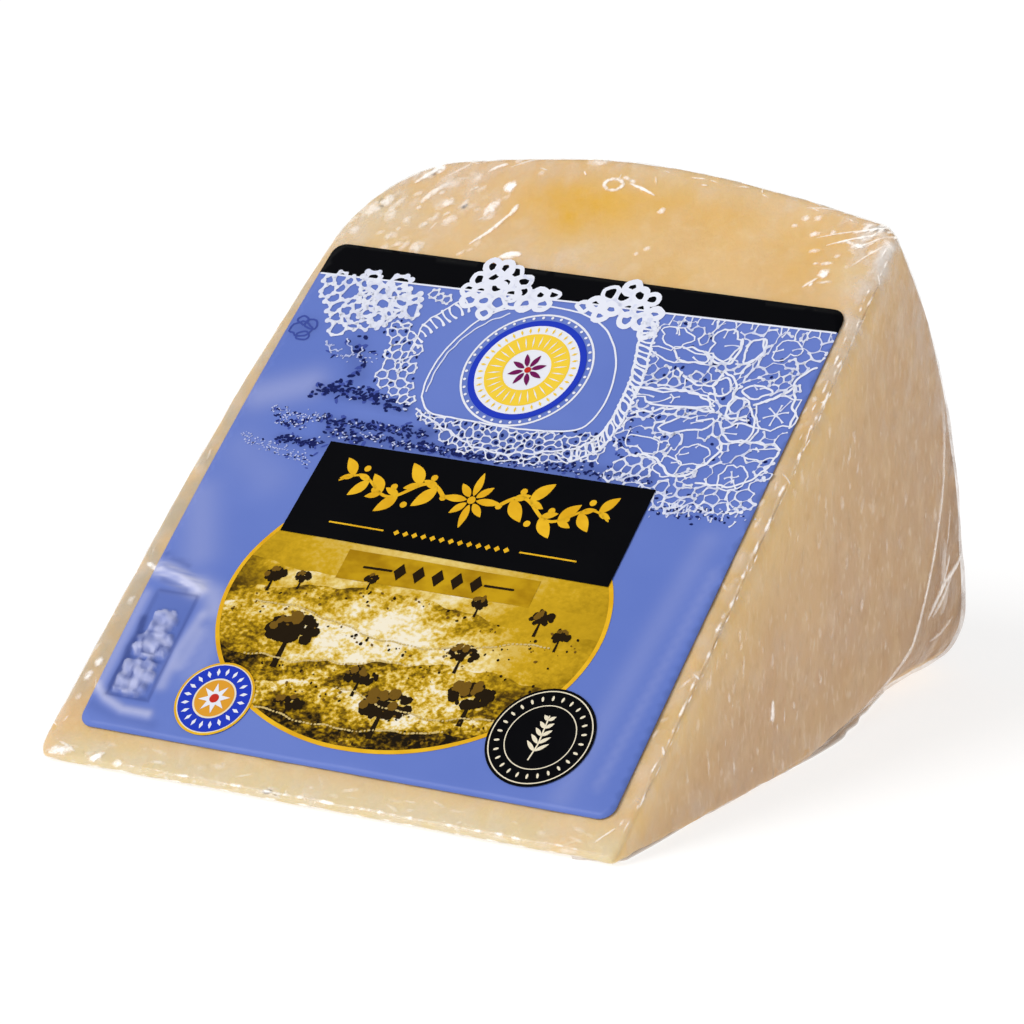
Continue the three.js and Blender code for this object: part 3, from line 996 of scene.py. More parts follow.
def edge_folds():
    """The film's folds along the wedge's edges, and the creases that run into its corners, drawn whitish and
    faintly glowing as painted highlight lines.
    """
    folds = Lines()
    draw = np.random.default_rng(7)

    def fold(points, width, strength, lift=-0.05):
        places, way = lay(points, lift)
        ends = np.sin(np.pi * np.linspace(0.02, 0.98, len(points))) ** 0.35
        folds.add(places, 1.8 * np.asarray(width) * ends, np.asarray(strength) * ends, way)

    def along(function, start, end, width, seed, low, offset_wave=0.25):
        t = np.linspace(0, 1, max(12, int(abs(end - start) / 0.45)))
        length = abs(end - start)
        shift = offset_wave * ripple((t * length)[:, None], 9, seed + 5)
        strength = 0.85 * dashes(length, len(t), seed, low)
        fold(function(start + (end - start) * t, shift), width * (0.55 + 0.6 * strength), strength)

    def top_back(inward):
        return lambda x, shift: on_cut(x, rim_radius(x, WEDGE_ANGLE) - inward + shift)

    def right_edge(inward):
        return lambda v, shift: on_cut(HALF_HEIGHT - inward + shift, v)

    def left_edge(inward):
        return lambda v, shift: on_cut(-HALF_HEIGHT + LEFT_DOME * doming(v) + inward + shift, v)

    def face_arc(side, inward):
        def place(arc, shift):
            angle = arc / ARC_SCALE
            radius = rim_radius(side * HALF_HEIGHT, angle) - inward + shift
            across = np.full(len(arc), side * HALF_HEIGHT)
            return np.stack([across, radius * np.cos(angle), radius * np.sin(angle)], 1)
        return place

    along(top_back(0.5), -26, 39, 0.16, 101, 0.02)
    along(top_back(1.5), 2, 38, 0.13, 103, -0.25)
    along(right_edge(0.6), 3, 93, 0.17, 105, 0.10)
    along(right_edge(1.6), 60, 92, 0.14, 107, -0.05)
    along(right_edge(-0.2), 10, 80, 0.10, 109, -0.15)
    along(left_edge(0.7), 3, 88, 0.15, 111, -0.15)
    along(lambda x, shift: on_cut(x, 1.9 + 0.3 * shift), -27, 38, 0.20, 113, 0.15, 0.15)
    along(lambda x, shift: np.stack([x, np.full(len(x), 1.2), 0.5 + 0.1 * shift], 1),
        -37, 38, 0.12, 115, -0.2)
    along(face_arc(1, 0.8), 8, 34, 0.14, 117, -0.1)
    along(face_arc(-1, 6), 4, 33, 0.15, 119, -0.1)
    along(lambda x, shift: np.stack([x, rim_radius(x, 0) - 0.6 + shift, 0 * x + 0.4], 1),
        -30, 36, 0.14, 121, -0.1)

    # The loose film's upper edge, and the forked crease below it.
    seam = spaced(SEAM[2:], 0.5, closed=False)
    strength = np.clip(0.35 + 0.6 * smooth(60, 74, seam[:, 0]) + 0.15 * ripple(seam, 3, 9), 0, 1)
    strength *= 1 - 0.75 * smooth(30, 44, seam[:, 1])
    beside = np.full(len(seam), BESIDE)
    fold(np.column_stack([beside, seam]), 0.13 + 0.12 * strength,
        0.5 * strength * (0.75 + 0.35 * ripple(seam, 1.3, 8)), lift=0.0)
    fold(np.column_stack([beside, seam - (0.25, 0.7)]), 0.35, 0.35 * strength)
    for line, width, level in (
        ([(88.4, 16.4), (86.6, 14.9), (83.4, 13.7), (80.6, 11.6), (78.4, 9.9)], 0.42, 0.6),
        ([(85.6, 14.4), (82.5, 11.6), (79.8, 9.9)], 0.4, 0.45),
        ([(84.6, 16.8), (83.6, 15.0), (82.9, 13.6)], 0.3, 0.45),
        ([(84.2, 13.0), (82.0, 9.6)], 0.7, 0.25),
        ([(83.0, 19.0), (82.2, 12.0)], 0.6, 0.25),
        ([(86.0, 8.6), (82.6, 7.0), (79.6, 6.6)], 0.25, 0.3),
        ([(84.5, 22.5), (84.1, 19.8), (83.5, 17.4)], 0.2, 0.35),
    ):
        line = spaced(line, 0.4, closed=False)
        fold(np.column_stack([np.full(len(line), BESIDE), line]), width, level)

    # Creases on the upper cut: (x, v) from and to, half width, strength and bow.
    for x0, v0, x1, v1, width, level, bow in (
        (-28.9, 91.2, -25.9, 94.4, 0.30, 0.80, 0.1), (-26.6, 88.2, -24.0, 91.8, 0.42, 0.60, 0.15),
        (-16.9, 82.6, -13.2, 88.4, 0.27, 0.75, -0.35), (-13.3, 87.6, -12.9, 89.6, 0.36, 0.80, 0),
        (-19.4, 94.2, -17.3, 95.8, 0.25, 0.70, 0.1), (-16.6, 95.3, -9.4, 97.9, 0.18, 0.45, 0.5),
        (-12.0, 80.9, -9.0, 81.9, 0.36, 0.80, 0.35), (-30.6, 86.0, -29.0, 88.8, 0.40, 0.35, 0),
        (0.7, 94.6, 4.9, 93.1, 0.20, 0.85, 0.1), (33.0, 90.5, 37.2, 91.9, 0.17, 0.80, 0.1),
        (30.4, 88.3, 36.4, 90.7, 0.15, 0.75, 0.15), (32.3, 93.2, 37.2, 92.8, 0.18, 0.80, -0.1),
        (28.5, 89.2, 35.8, 91.4, 0.11, 0.50, 0.2), (34.0, 88.0, 37.6, 90.6, 0.13, 0.55, 0.1),
        (34.6, 85.4, 38.0, 89.4, 0.13, 0.45, 0.1), (29.8, 81.7, 31.3, 83.4, 0.20, 0.60, 0),
        (25.5, 93.6, 31.5, 93.9, 0.15, 0.40, 0.1), (-36.4, 3.4, -33.6, 2.4, 0.20, 0.50, 0.1),
        (-31.0, 1.8, -29.6, 3.0, 0.30, 0.70, 0), (-33.5, 7.9, -36.3, 13.0, 0.14, 0.30, 0),
        (-37.6, 29.6, -35.6, 28.9, 0.35, 0.80, 0), (36.2, 3.0, 38.0, 5.4, 0.14, 0.50, 0),
        (-22.2, 95.4, -24.8, 92.9, 0.20, 0.35, 0.1),
    ):
        length = math.hypot(x1 - x0, v1 - v0)
        t = np.linspace(0, 1, max(6, int(length / 0.35)))
        sway = bow * np.sin(np.pi * t)
        nx, nv = -(v1 - v0) / length, (x1 - x0) / length
        fold(on_cut(x0 + (x1 - x0) * t + nx * sway, v0 + (v1 - v0) * t + nv * sway), width, level)

    # Short creases that cross the edges here and there, on every side.
    starts, _ = on_surface(np.concatenate([
        on_cut(np.full(14, 39.4), np.linspace(8, 92, 14) + draw.uniform(-2, 2, 14)),
        on_cut(np.full(12, -39.2), np.linspace(6, 84, 12) + draw.uniform(-2, 2, 12)),
        on_cut(np.linspace(-30, 36, 12) + draw.uniform(-2, 2, 12), np.full(12, 95.5)),
        np.column_stack([np.linspace(-34, 34, 14), np.full(14, 97.0), draw.uniform(1, 5, 14)]),
        np.column_stack([np.full(10, -39.5), np.linspace(12, 86, 10), draw.uniform(1, 6, 10)]),
    ]))
    for start in starts:
        way = draw.normal(size=3)
        length = draw.uniform(0.8, 2.6)
        line = start + way / np.linalg.norm(way) * length * np.linspace(-0.5, 0.5, 7)[:, None]
        fold(line, draw.uniform(0.08, 0.16), draw.uniform(0.3, 0.75))
    # Real ridges of film, drawn in the glowing marks: painted highlights along them.
    return folds.make("film_folds_and_highlights", FILM_MARKS_AND_HIGHLIGHTS, within_box, across=5, arch=0.22)


def film_pockets():
    """Small pockets of air under the film, drawn whitish and faintly glowing, so partly painted highlights.
    """
    draw = np.random.default_rng(19)
    marks = []  # place, direction, length, width, strength

    def pocket(place, way, length, width, strength):
        marks.append((place, way, 1.5 * length, 1.8 * width, strength))

    def slope_way(turn):
        return np.array([math.cos(turn), math.sin(turn) * COS, math.sin(turn) * SIN])

    for x, v, length, width, turn, strength in (
        (-15.3, 92.2, 0.95, 0.75, 1.0, 1.0), (-16.3, 88.7, 1.6, 0.6, 1.25, 0.75),
        (-26.4, 94.0, 0.9, 0.8, 0.7, 0.9), (-31.4, 87.9, 0.9, 0.7, 0.6, 0.55),
        (-29.9, 85.8, 0.9, 0.8, 0.5, 0.45), (-33.2, 86.4, 1.5, 0.8, 1.0, 0.5),
        (-27.2, 85.3, 0.6, 0.5, 0.5, 0.4), (-22.6, 88.7, 1.0, 0.5, 0.6, 0.5),
        (-21.2, 86.1, 1.1, 0.6, 0.4, 0.45), (-23.6, 86.0, 0.8, 0.4, 0.6, 0.35),
        (-4.9, 97.4, 1.6, 0.45, 0.1, 0.5), (6.8, 90.9, 0.55, 0.4, 0.6, 0.8),
        (26.1, 92.0, 0.6, 0.45, 0.3, 0.6), (27.7, 92.2, 0.5, 0.4, 1.0, 0.6),
        (25.1, 90.7, 0.4, 0.3, 0.3, 0.5), (28.2, 89.8, 0.7, 0.35, 0.3, 0.7),
        (30.5, 90.4, 0.4, 0.35, 0.4, 0.65), (29.2, 87.3, 0.75, 0.3, 0.2, 0.6),
        (32.4, 86.9, 0.45, 0.3, 0.7, 0.5), (31.7, 84.1, 0.75, 0.55, 0.9, 1.0),
        (6.3, 83.9, 0.35, 0.3, 0.4, 0.4), (7.3, 84.9, 0.5, 0.35, 0.7, 0.5),
        (-36.9, 15.0, 0.7, 0.45, 1.5, 0.75), (-37.3, 12.8, 0.8, 0.4, 1.4, 0.75),
        (-37.2, 9.8, 0.5, 0.35, 1.5, 0.4), (-35.8, 2.2, 1.7, 0.55, 0.1, 0.9),
        (-30.5, 2.1, 0.9, 0.45, 0.5, 0.95), (-27.3, 1.9, 0.6, 0.4, 0.2, 0.8),
        (-37.0, 24.0, 0.7, 0.4, 1.5, 0.4), (-10.3, 81.6, 1.4, 0.5, 0.3, 0.65),
        (-19.0, 91.5, 0.8, 0.35, 0.9, 0.3), (-20.4, 93.2, 0.7, 0.4, 0.6, 0.35),
        (-12.0, 94.8, 0.5, 0.4, 0.6, 0.3), (36.6, 92.2, 0.7, 0.5, 0.6, 0.8),
    ):
        pocket(on_cut(x, v), slope_way(turn), length, width, strength)
    # A ring of film round a bubble, drawn as a few pockets.
    for k in range(9):
        angle = k * 2 * math.pi / 9
        place = on_cut(-1.4 + 1.25 * math.cos(angle), 94.2 + 0.85 * math.sin(angle))
        pocket(place, slope_way(angle + math.pi / 2), 0.55, 0.25, 0.65)
    for x, v in ((0.9, 95.0), (0.0, 95.4)):
        pocket(on_cut(x, v), slope_way(-0.4), 0.6, 0.28, 0.6)
    # The right face's pale flecks, upright, with two that stand out.
    upright = np.array([0, 0, 1.0])
    for y, z, length, width, strength in (
        (37.2, 8.6, 1.5, 0.42, 0.85), (40.2, 7.2, 1.2, 0.14, 0.35),
        (28.0, 4.4, 1.1, 0.20, 0.25), (22.0, 6.0, 1.3, 0.20, 0.20),
    ):
        pocket(np.array([BESIDE, y, z]), upright, length, width, strength)
    for centre, spread, count, level in (
        ((30, 12), (11, 6), 44, 0.26), ((60, 26), (14, 9), 56, 0.18), ((52, 34), (8, 4), 22, 0.24),
    ):
        for _ in range(count):
            y, z = np.array(centre) + draw.normal(size=2) * spread
            if 1 < z < y * math.tan(WEDGE_ANGLE) - 2.5 and math.hypot(y, z) < 88:
                size = draw.uniform(0.3, 1.0)
                pocket(np.array([BESIDE, y, z]), upright + draw.normal(size=3) * 0.2, size,
                    size * draw.uniform(0.2, 0.5), draw.uniform(0.3, 1.0) * level)
    # The same on the left face and the rim.
    for _ in range(150):
        y, z = draw.uniform(8, 90), draw.uniform(2, 56)
        if z < y * math.tan(WEDGE_ANGLE) - 2 and math.hypot(y, z) < 90:
            pocket(np.array([-BESIDE, y, z]), upright + draw.normal(size=3) * 0.3, draw.uniform(0.4, 1.6),
                draw.uniform(0.12, 0.4), draw.uniform(0.08, 0.4))
    for _ in range(130):
        x, angle = draw.uniform(-36, 37), draw.uniform(0.03, WEDGE_ANGLE - 0.03)
        place = np.array([x, BEHIND * math.cos(angle), BEHIND * math.sin(angle)])
        pocket(place, upright + draw.normal(size=3) * 0.4, draw.uniform(0.4, 1.7),
            draw.uniform(0.12, 0.45), draw.uniform(0.1, 0.45))
    # Small ones along the upper cut's upper left, its sides, its upper corners and the lower strip.
    for _ in range(70):
        side = draw.integers(3)
        place = (
            on_cut(draw.uniform(-37, -16), draw.uniform(82, 96)),
            on_cut(draw.uniform(37.3, 39.2), draw.uniform(6, 92)),
            on_cut(draw.uniform(-39, -37), draw.uniform(6, 84)),
        )[side]
        pocket(place, slope_way(draw.normal() * 0.4 + (0.7, 1.5, 1.5)[side]), draw.uniform(0.3, 0.9),
            draw.uniform(0.12, 0.35), draw.uniform(0.1, 0.4))
    for _ in range(42):
        x, v = draw.uniform(-37, -15), draw.uniform(80.5, 97)
        size = draw.uniform(0.4, 1.3)
        pocket(on_cut(x, v), slope_way(draw.normal() * 0.5 + 0.8), size, size * draw.uniform(0.35, 0.8),
            draw.uniform(0.1, 0.42))
    for _ in range(34):
        away = abs(draw.normal()) * 6
        place = on_cut(38.4 - 0.8 * away + draw.normal(), 92.5 - away * draw.uniform(0.1, 1.6))
        pocket(place, slope_way(draw.normal() * 0.5 + 0.3), draw.uniform(0.25, 0.9),
            draw.uniform(0.12, 0.35), draw.uniform(0.2, 0.8))
    for _ in range(60):
        pocket(on_cut(draw.uniform(-36, 38), draw.uniform(0.8, 4.5)), slope_way(draw.normal() * 0.3),
            draw.uniform(0.3, 1.2), draw.uniform(0.1, 0.3), draw.uniform(0.08, 0.3))
    places, way = lay([mark[0] for mark in marks], -0.07)
    turns = []
    for up, mark in zip(way, marks):
        ahead = mark[1] - up * np.dot(mark[1], up)
        ahead /= np.linalg.norm(ahead)
        turns.append(Matrix([ahead, np.cross(up, ahead), up]).transposed().to_euler())
    values = {
        "turn": np.array([tuple(t) for t in turns]),
        "size": np.array([(mark[2], mark[3], 0.3 * min(mark[2:4])) for mark in marks]),
        "strength": np.array([mark[4] for mark in marks], float),
    }
    # The glowing marks make these painted highlights as well as pockets.
    inputs = {"Corners": 14, "Finer": 1, "Dome": 0.3, "Material": FILM_MARKS_AND_HIGHLIGHTS}
    return grown("film_pockets", PATCHES, places, [], values, inputs, within_box)


folds = edge_folds()
pockets = film_pockets()


# ---------------------------------------------------------------- the label

def label_loop():
    """The label's outline, anticlockwise from its lower left corner."""
    r = LABEL_CORNER

    def corner(x, v, start):
        angles = np.radians(np.linspace(start, start + 90, 7))
        return [(x + r * math.cos(a), v + r * math.sin(a)) for a in angles]

    t = np.linspace(0, 1, 30)[1:-1]
    high, low = LABEL_TOP_LEFT - r, LABEL_BOTTOM + r
    left = [(LABEL_LEFT - 4 * LABEL_BOW * s * (1 - s), high + (low - high) * s) for s in t]
    loop = corner(LABEL_RIGHT - r, low, -90) + corner(LABEL_RIGHT - r, LABEL_TOP_RIGHT - r, 0)
    loop += corner(LABEL_LEFT + r, high, 90) + left + corner(LABEL_LEFT + r, low, 180)
    return np.array(loop)


def border_distance(x, v):
    t = np.clip((v - LABEL_BOTTOM) / (LABEL_TOP_LEFT - LABEL_BOTTOM), 0, 1)
    left = LABEL_LEFT - 4 * LABEL_BOW * t * (1 - t)
    top = blend(LABEL_TOP_LEFT, LABEL_TOP_RIGHT, (x - LABEL_LEFT) / (LABEL_RIGHT - LABEL_LEFT))
    return np.minimum.reduce([x - left, LABEL_RIGHT - x, v - LABEL_BOTTOM, top - v])


def ridge(x, v, line, width):
    """1 along a line on the label, falling away over the width."""
    line = spaced(line, 0.25, closed=False)
    return bell(nearest(np.column_stack([x, v]), line), 0, width)


def ridges(x, v, marks):
    """Ridges added up. Each is its level, width and line."""
    return sum(level * ridge(x, v, line, width) for level, width, line in marks)


WINDOW = (-30.7, 18.3, 2.95, 7.6)  # x, v and half sizes
PADS = [(-30.9, 21.6, 1.75, 1.75), (-30.7, 18.2, 2.65, 2.0), (-30.9, 13.5, 2.7, 2.65)]


def raised_pads(x, v):
    """Three puffy pads in a sunken window near the label's lower left corner, the window and its rim."""
    flat = np.column_stack([x, v])
    wx, wv, half_x, half_v = WINDOW
    p, q = np.abs(x - wx + 0.05 * (v - wv)), np.abs(v - wv)
    window = smooth(0, 0.5, half_x - p) * smooth(0, 0.5, half_v - q)
    rim = bell(np.maximum(p - half_x, q - half_v), 0, 0.3)
    pads = np.zeros_like(x)
    for cx, cv, rx, rv in PADS:
        away = (np.abs((x - cx) / rx) ** 3 + np.abs((v - cv) / rv) ** 3) ** (1 / 3)
        pads = np.maximum(pads, smooth(1.06, 0.82, away + 0.10 * ripple(flat, 1.6, 56)))
    return pads * window, window, rim


WRINKLES = [  # the label's creases near its left edge: height, half width and line
    (0.34, 0.7, [(-38, 29.6), (-35.0, 29.0), (-31.8, 28.3), (-28.4, 27.0)]),
    (-0.12, 0.3, [(-36.5, 28.4), (-33.0, 27.9), (-29.4, 26.8)]),
    (0.12, 0.8, [(-26.0, 24.0), (-26.6, 18.0), (-26.8, 11.0)]),
    (0.14, 0.7, [(-35.6, 11.7), (-33.0, 10.0), (-30.1, 8.9), (-26.4, 8.9)]),
]


def label_height(x, v):
    """The height of the label's upper side over the cut."""
    flat = np.column_stack([x, v])
    pads, window, rim = raised_pads(x, v)
    around = np.exp(-(((x + 30.3) / 6.0) ** 2 + ((v - 18) / 10.5) ** 2))
    puff = pads * (0.36 + 0.14 * ripple(flat, 2.1, 51)) - 0.14 * window - 0.05 * rim + 0.22 * around
    easy = 0.035 * ripple(flat, 17, 52) + 0.012 * ripple(flat, 6, 53)
    droop = LABEL_DROOP * (1 - smooth(0, 0.9, border_distance(x, v)))
    inner = smooth(0, 1.5, border_distance(x, v))
    return LABEL_TOP - droop + (easy + puff + ridges(x, v, WRINKLES)) * inner


def raised(places, layers):
    """Flat places on the label, lifted by that many layers of print."""
    return np.column_stack([places, np.full(len(places), layers * PRINT_LIFT)])


def on_label(points):
    """Places printed flat, (x, v, lift), laid over the label."""
    x, v, lift = points.T
    return on_cut(x, v, label_height(x, v) + lift)


PALE_MARKS = [  # glints on the label: how strong, half width and line
    (0.42, 1.5, [(-28.4, 27.2), (-26.4, 26.6), (-25.2, 24.6)]),
    (0.42, 0.8, [(-26.2, 23.2), (-26.9, 18.0), (-26.6, 13.0)]),
    (0.35, 0.9, [(-25.2, 21.0), (-25.6, 16.0)]),
    (0.65, 0.6, [(-35.4, 11.6), (-33.0, 10.0), (-30.1, 8.9), (-26.4, 8.9)]),
    (0.34, 0.9, [(-35.3, 25), (-35.0, 12)]), (0.20, 1.6, [(-23.4, 26.0), (-23.0, 15)]),
    (0.12, 1.6, [(30, 8), (33.0, 44)]), (0.14, 0.7, [(33.8, 10), (35.8, 40)]),
    (0.30, 2.5, [(-34.4, 56), (-28.5, 58.5)]), (0.20, 2.6, [(-35, 40), (-31, 32)]),
    (0.10, 3.0, [(-33, 48), (-27, 44)]),
]
DARK_MARKS = [  # its shadows, in the window, by the wrinkle and under the lace
    (0.70, 0.5, [(-33.8, 21.6), (-33.3, 19.5), (-33.7, 17.4), (-33.3, 15.2), (-33.2, 12.0)]),
    (0.40, 0.2, [(-33.2, 19.7), (-31.6, 19.9), (-29.8, 20.1)]),
    (0.40, 0.22, [(-33.2, 16.3), (-31.2, 16.0), (-28.4, 16.1)]),
    (0.60, 0.2, [(-32.2, 18.8), (-31.4, 17.0), (-29.8, 16.9), (-29.2, 18.2)]),
    (0.50, 0.22, [(-31.4, 14.6), (-30.9, 12.0)]), (0.30, 0.2, [(-29.6, 14.2), (-29.5, 12.4)]),
    (0.34, 0.35, [(-35.6, 31.0), (-31.5, 29.9)]), (0.30, 0.35, [(-34, 27.4), (-30, 26.4)]),
    (0.22, 0.8, [(-34.6, 9.0), (-30.0, 7.6), (-25.0, 7.6)]),
    (0.40, 0.9, [(-26.8, 58.0), (-13.4, 56.8)]), (0.40, 0.7, [(-24.0, 53.6), (-9.0, 53.4)]),
    (0.35, 0.7, [(-28.6, 50.0), (-22.0, 49.7)]), (0.50, 1.1, [(-22.2, 51.6), (22.0, 51.2)]),
    (0.30, 1.6, [(-9.0, 54.2), (13.0, 54.4)]), (0.30, 1.2, [(-34.2, 66.8), (-32.6, 67.0)]),
    (0.30, 1.5, [(-25.0, 64.8), (-22.2, 60.6)]),
]


def label_sheet():
    """The label itself: a thin closed sheet with a dark band along its top."""
    fine = np.array([(x, v) for x in np.arange(-36, -25.0, 0.3) for v in np.arange(7.6, 30.5, 0.3)])
    border = [label_loop()]
    corners, faces = filled(border, 1.0, [[(-40, BAND_EDGE), (40, BAND_EDGE)]], extra=fine)
    x, v = corners.T
    top = on_cut(x, v, label_height(x, v))
    under = on_cut(x, v, LABEL_UNDER)
    count = len(corners)
    edge_use = {}
    for face in faces:
        for a, b in zip(face, np.roll(face, -1)):
            edge_use[(a, b)] = edge_use.get((a, b), 0) + 1
    rims = [(a, b) for a, b in edge_use if (b, a) not in edge_use]
    walls = [(b, a, count + a, count + b) for a, b in rims]
    all_faces = [tuple(f) for f in faces] + [tuple(count + c for c in f[::-1]) for f in faces] + walls
    dark = [v[list(f)].mean() > BAND_EDGE for f in faces] * 2
    dark += [v[a] + v[b] > 2 * BAND_EDGE for a, b in rims]
    pads, window, rim = raised_pads(x, v)
    rough = 0.5 + 0.5 * np.clip(ripple(corners, 2.2, 55) + 0.5 * ripple(corners, 1.1, 57), -1, 1)
    streaks = 0.5 + 0.5 * np.clip(1.6 * ripple(corners * (0.35, 2.2), 1.6, 58), -1, 1)
    # Painted highlight on the pads' lit sides, on the wrinkle and in the glints; painted shade in the sunken
    # window, at its left rim and on the pads' unlit sides.
    pale = pads * (0.40 + 0.34 * rough)
    pale += (0.55 + 0.6 * streaks) * ridge(x, v, [(-37, 29.3), (-33.4, 28.5), (-28.6, 27.0)], 1.05)
    shade = 0.2 * window * (1 - pads) + 0.6 * rim * smooth(-34.4, -33.4, x) + 0.34 * pads * (1 - rough) ** 2
    pale += ridges(x, v, PALE_MARKS)
    shade += ridges(x, v, DARK_MARKS)
    values = {"haze_and_sheen": np.clip(np.tile(pale, 2), 0, 1), "shade": np.clip(np.tile(shade, 2), 0, 0.8)}
    return new_piece("label_sheet", to_frame(np.concatenate([top, under])), all_faces, [BLUE, BLACK],
        values, which=dark)


class Flats:
    """Flat printed shapes gathered into one piece, in several inks."""

    def __init__(self):
        self.points, self.faces, self.which, self.materials, self.total = [], [], [], [], 0

    def add(self, loops, material, lift=1.0, spacing=1.0):
        """The area inside the loops. The lift counts layers of print."""
        if material not in self.materials:
            self.materials.append(material)
        corners, faces = filled(loops, spacing)
        self.points.append(raised(corners, lift))
        self.faces += (faces + self.total).tolist()
        self.which += [self.materials.index(material)] * len(faces)
        self.total += len(corners)

    def make(self, name):
        points = on_label(np.concatenate(self.points))
        made = new_piece(name, to_frame(points), self.faces, self.materials, which=self.which)
        made.data.polygons.foreach_set("use_smooth", [False] * len(self.faces))
        return made


def row(name, line, closed, count, along, across, material, lift, corners=12, unevenness=0.0, seed=0):
    """Marks set along a line on the label."""
    edges = [(i, i + 1) for i in range(len(line) - 1)] + ([(len(line) - 1, 0)] if closed else [])
    inputs = {"Count": count, "Along": along, "Across": across, "Corners": corners,
        "Unevenness": unevenness, "Seed": seed, "Material": material}
    return grown(name, ROWS, raised(line, lift), edges, {}, inputs, on_label)


def flat_patches(name, places, lifts, turns, sizes, corners, material):
    """Cornered patches on the label, each with its own lift, turn and two half sizes."""
    none, one = np.zeros(len(places)), np.ones(len(places))
    values = {"turn": np.column_stack([none, none, turns]), "size": np.column_stack([sizes, one])}
    inputs = {"Corners": corners, "Finer": 0, "Dome": 0.0, "Material": material}
    return grown(name, PATCHES, np.column_stack([places, lifts]), [], values, inputs, on_label)


sheet = label_sheet()


# The dark plate, its ornament, the ribbon and the seals.

def leaf(x, v, length, width, turn, bend=0.0):
    """A pointed leaf from a place, along a turn."""
    t = np.linspace(0, 1, 12)
    half = width * np.sin(np.pi * t) ** 0.8 * (1 - 0.35 * t)
    sway = bend * np.sin(np.pi * t)
    one, other = (np.column_stack([length * t, sway + sign * half]) for sign in (1, -1))
    side = np.concatenate([one[:-1], other[::-1][:-1]])
    c, s = math.cos(turn), math.sin(turn)
    return np.column_stack([x + c * side[:, 0] - s * side[:, 1], v + s * side[:, 0] + c * side[:, 1]])


def black_plate():
    fields = Flats()
    fields.add([PLATE], BLACK, 7, 1.2)
    return fields.make("label_plate")


def plate_ornament():
    """A gold vine on both sides of a star, over a beaded rule."""
    flats, threads = Flats(), Lines()
    cx, cv, tilt = 1.2, 44.9, -0.011
    for side in (-1, 1):
        s = np.linspace(0, 1, 50)
        x = cx + side * (4.0 + 14.6 * s)
        v = cv + 1.5 * np.sin(s * 3 * np.pi) * (1 - 0.3 * s) + tilt * (x - cx)
        threads.add(raised(np.column_stack([x, v]), 8), 0.28 * (1 - 0.5 * s), knots=True)
        for k in range(6):
            t = (k + 0.5) / 6.2
            bx = cx + side * (4.0 + 14.6 * t)
            bv = cv + 1.5 * math.sin(t * 3 * math.pi) * (1 - 0.3 * t) + tilt * (bx - cx)
            lean = 1 if k % 2 else -1
            size = 4.0 * (1 - 0.25 * t)
            turn = lean * 0.9 if side > 0 else math.pi - lean * 0.9
            flats.add([leaf(bx, bv, size, 0.27 * size, turn, 0.12 * lean * side)], GOLD, 8, 0.5)
            small = turn - lean * side * 1.25
            flats.add([leaf(bx, bv, 0.62 * size, 0.16 * size, small)], GOLD, 8, 0.5)
            flats.add([ring((bx - side * 1.3, bv + 1.25 * lean), 0.46, 12)], GOLD, 8, 0.5)
    for k in range(8):
        turn = k * math.pi / 4
        length = 2.5 if k % 2 else 3.5
        flats.add([leaf(cx + 0.6 * math.cos(turn), cv + 0.6 * math.sin(turn), length, 0.62, turn)],
            GOLD, 8, 0.5)
    flats.add([ring((cx, cv), 0.55, 16)], GOLD, 9, 0.5)
    rule = 38.8
    for side in (-1, 1):
        half_rule = [(cx + side * a, rule + tilt * side * a) for a in (9.5, 12, 14.5, 17.0)]
        threads.add(raised(half_rule, 8), 0.11, knots=True)
    beads = np.array([(cx + a, rule + tilt * a) for a in np.linspace(-7.6, 7.6, 12)])
    marks = row("beads", beads, False, 13, 0.42, 0.42, GOLD, 8, 4)
    return joined("plate_ornament", [flats.make("leaves"), threads.make("stems", GOLD, on_label), marks])


def ribbon():
    """The gold ribbon with a dark line and lozenges."""
    flats = Flats()
    flats.add([RIBBON], RIBBON_GOLD, 4, 1.2)
    made = flats.make("ribbon_field")
    threads = Lines()
    for side in (-1, 1):
        threads.add(raised([(1.9 + side * a, 33.5) for a in (6.4, 8.0, 10.2)], 6), 0.16, knots=True)
    line = np.array([(-3.3, 33.5), (1.9, 33.5), (7.1, 33.5)])
    marks = row("ribbon_marks", line, False, 5, 0.85, 1.25, BROWN, 6, 4)
    return joined("label_ribbon", [made, threads.make("ribbon_lines", BROWN, on_label), marks])


def blue_seal():
    """A round seal in blue, white and gold, with a star in its middle."""
    flats, (cx, cv), r = Flats(), BLUE_SEAL, BLUE_SEAL_RADIUS
    for radius, corners, ink, lift in (
        (r, 64, GOLD, 6), (r - 0.28, 64, CREAM, 7), (r - 0.42, 64, DEEP_BLUE, 8),
        (2.78, 48, CREAM, 9), (2.55, 48, ORANGE, 10),
    ):
        flats.add([ring((cx, cv), radius, corners)], ink, lift, 0.9)
    star = []
    for k in range(16):
        reach, turn = (0.95 if k % 2 else 2.1), k * math.pi / 8 + 0.2
        star.append((cx + reach * math.cos(turn), cv + reach * math.sin(turn)))
    flats.add([star], WHITE, 11, 0.5)
    flats.add([ring((cx, cv), 0.62, 16)], RED, 12, 0.5)
    petals = row("seal_petals", ring((cx, cv), 3.72, 60), True, 20, 0.24, 0.55, WHITE, 9, 4)
    return joined("blue_seal", [flats.make("seal_fields"), petals])


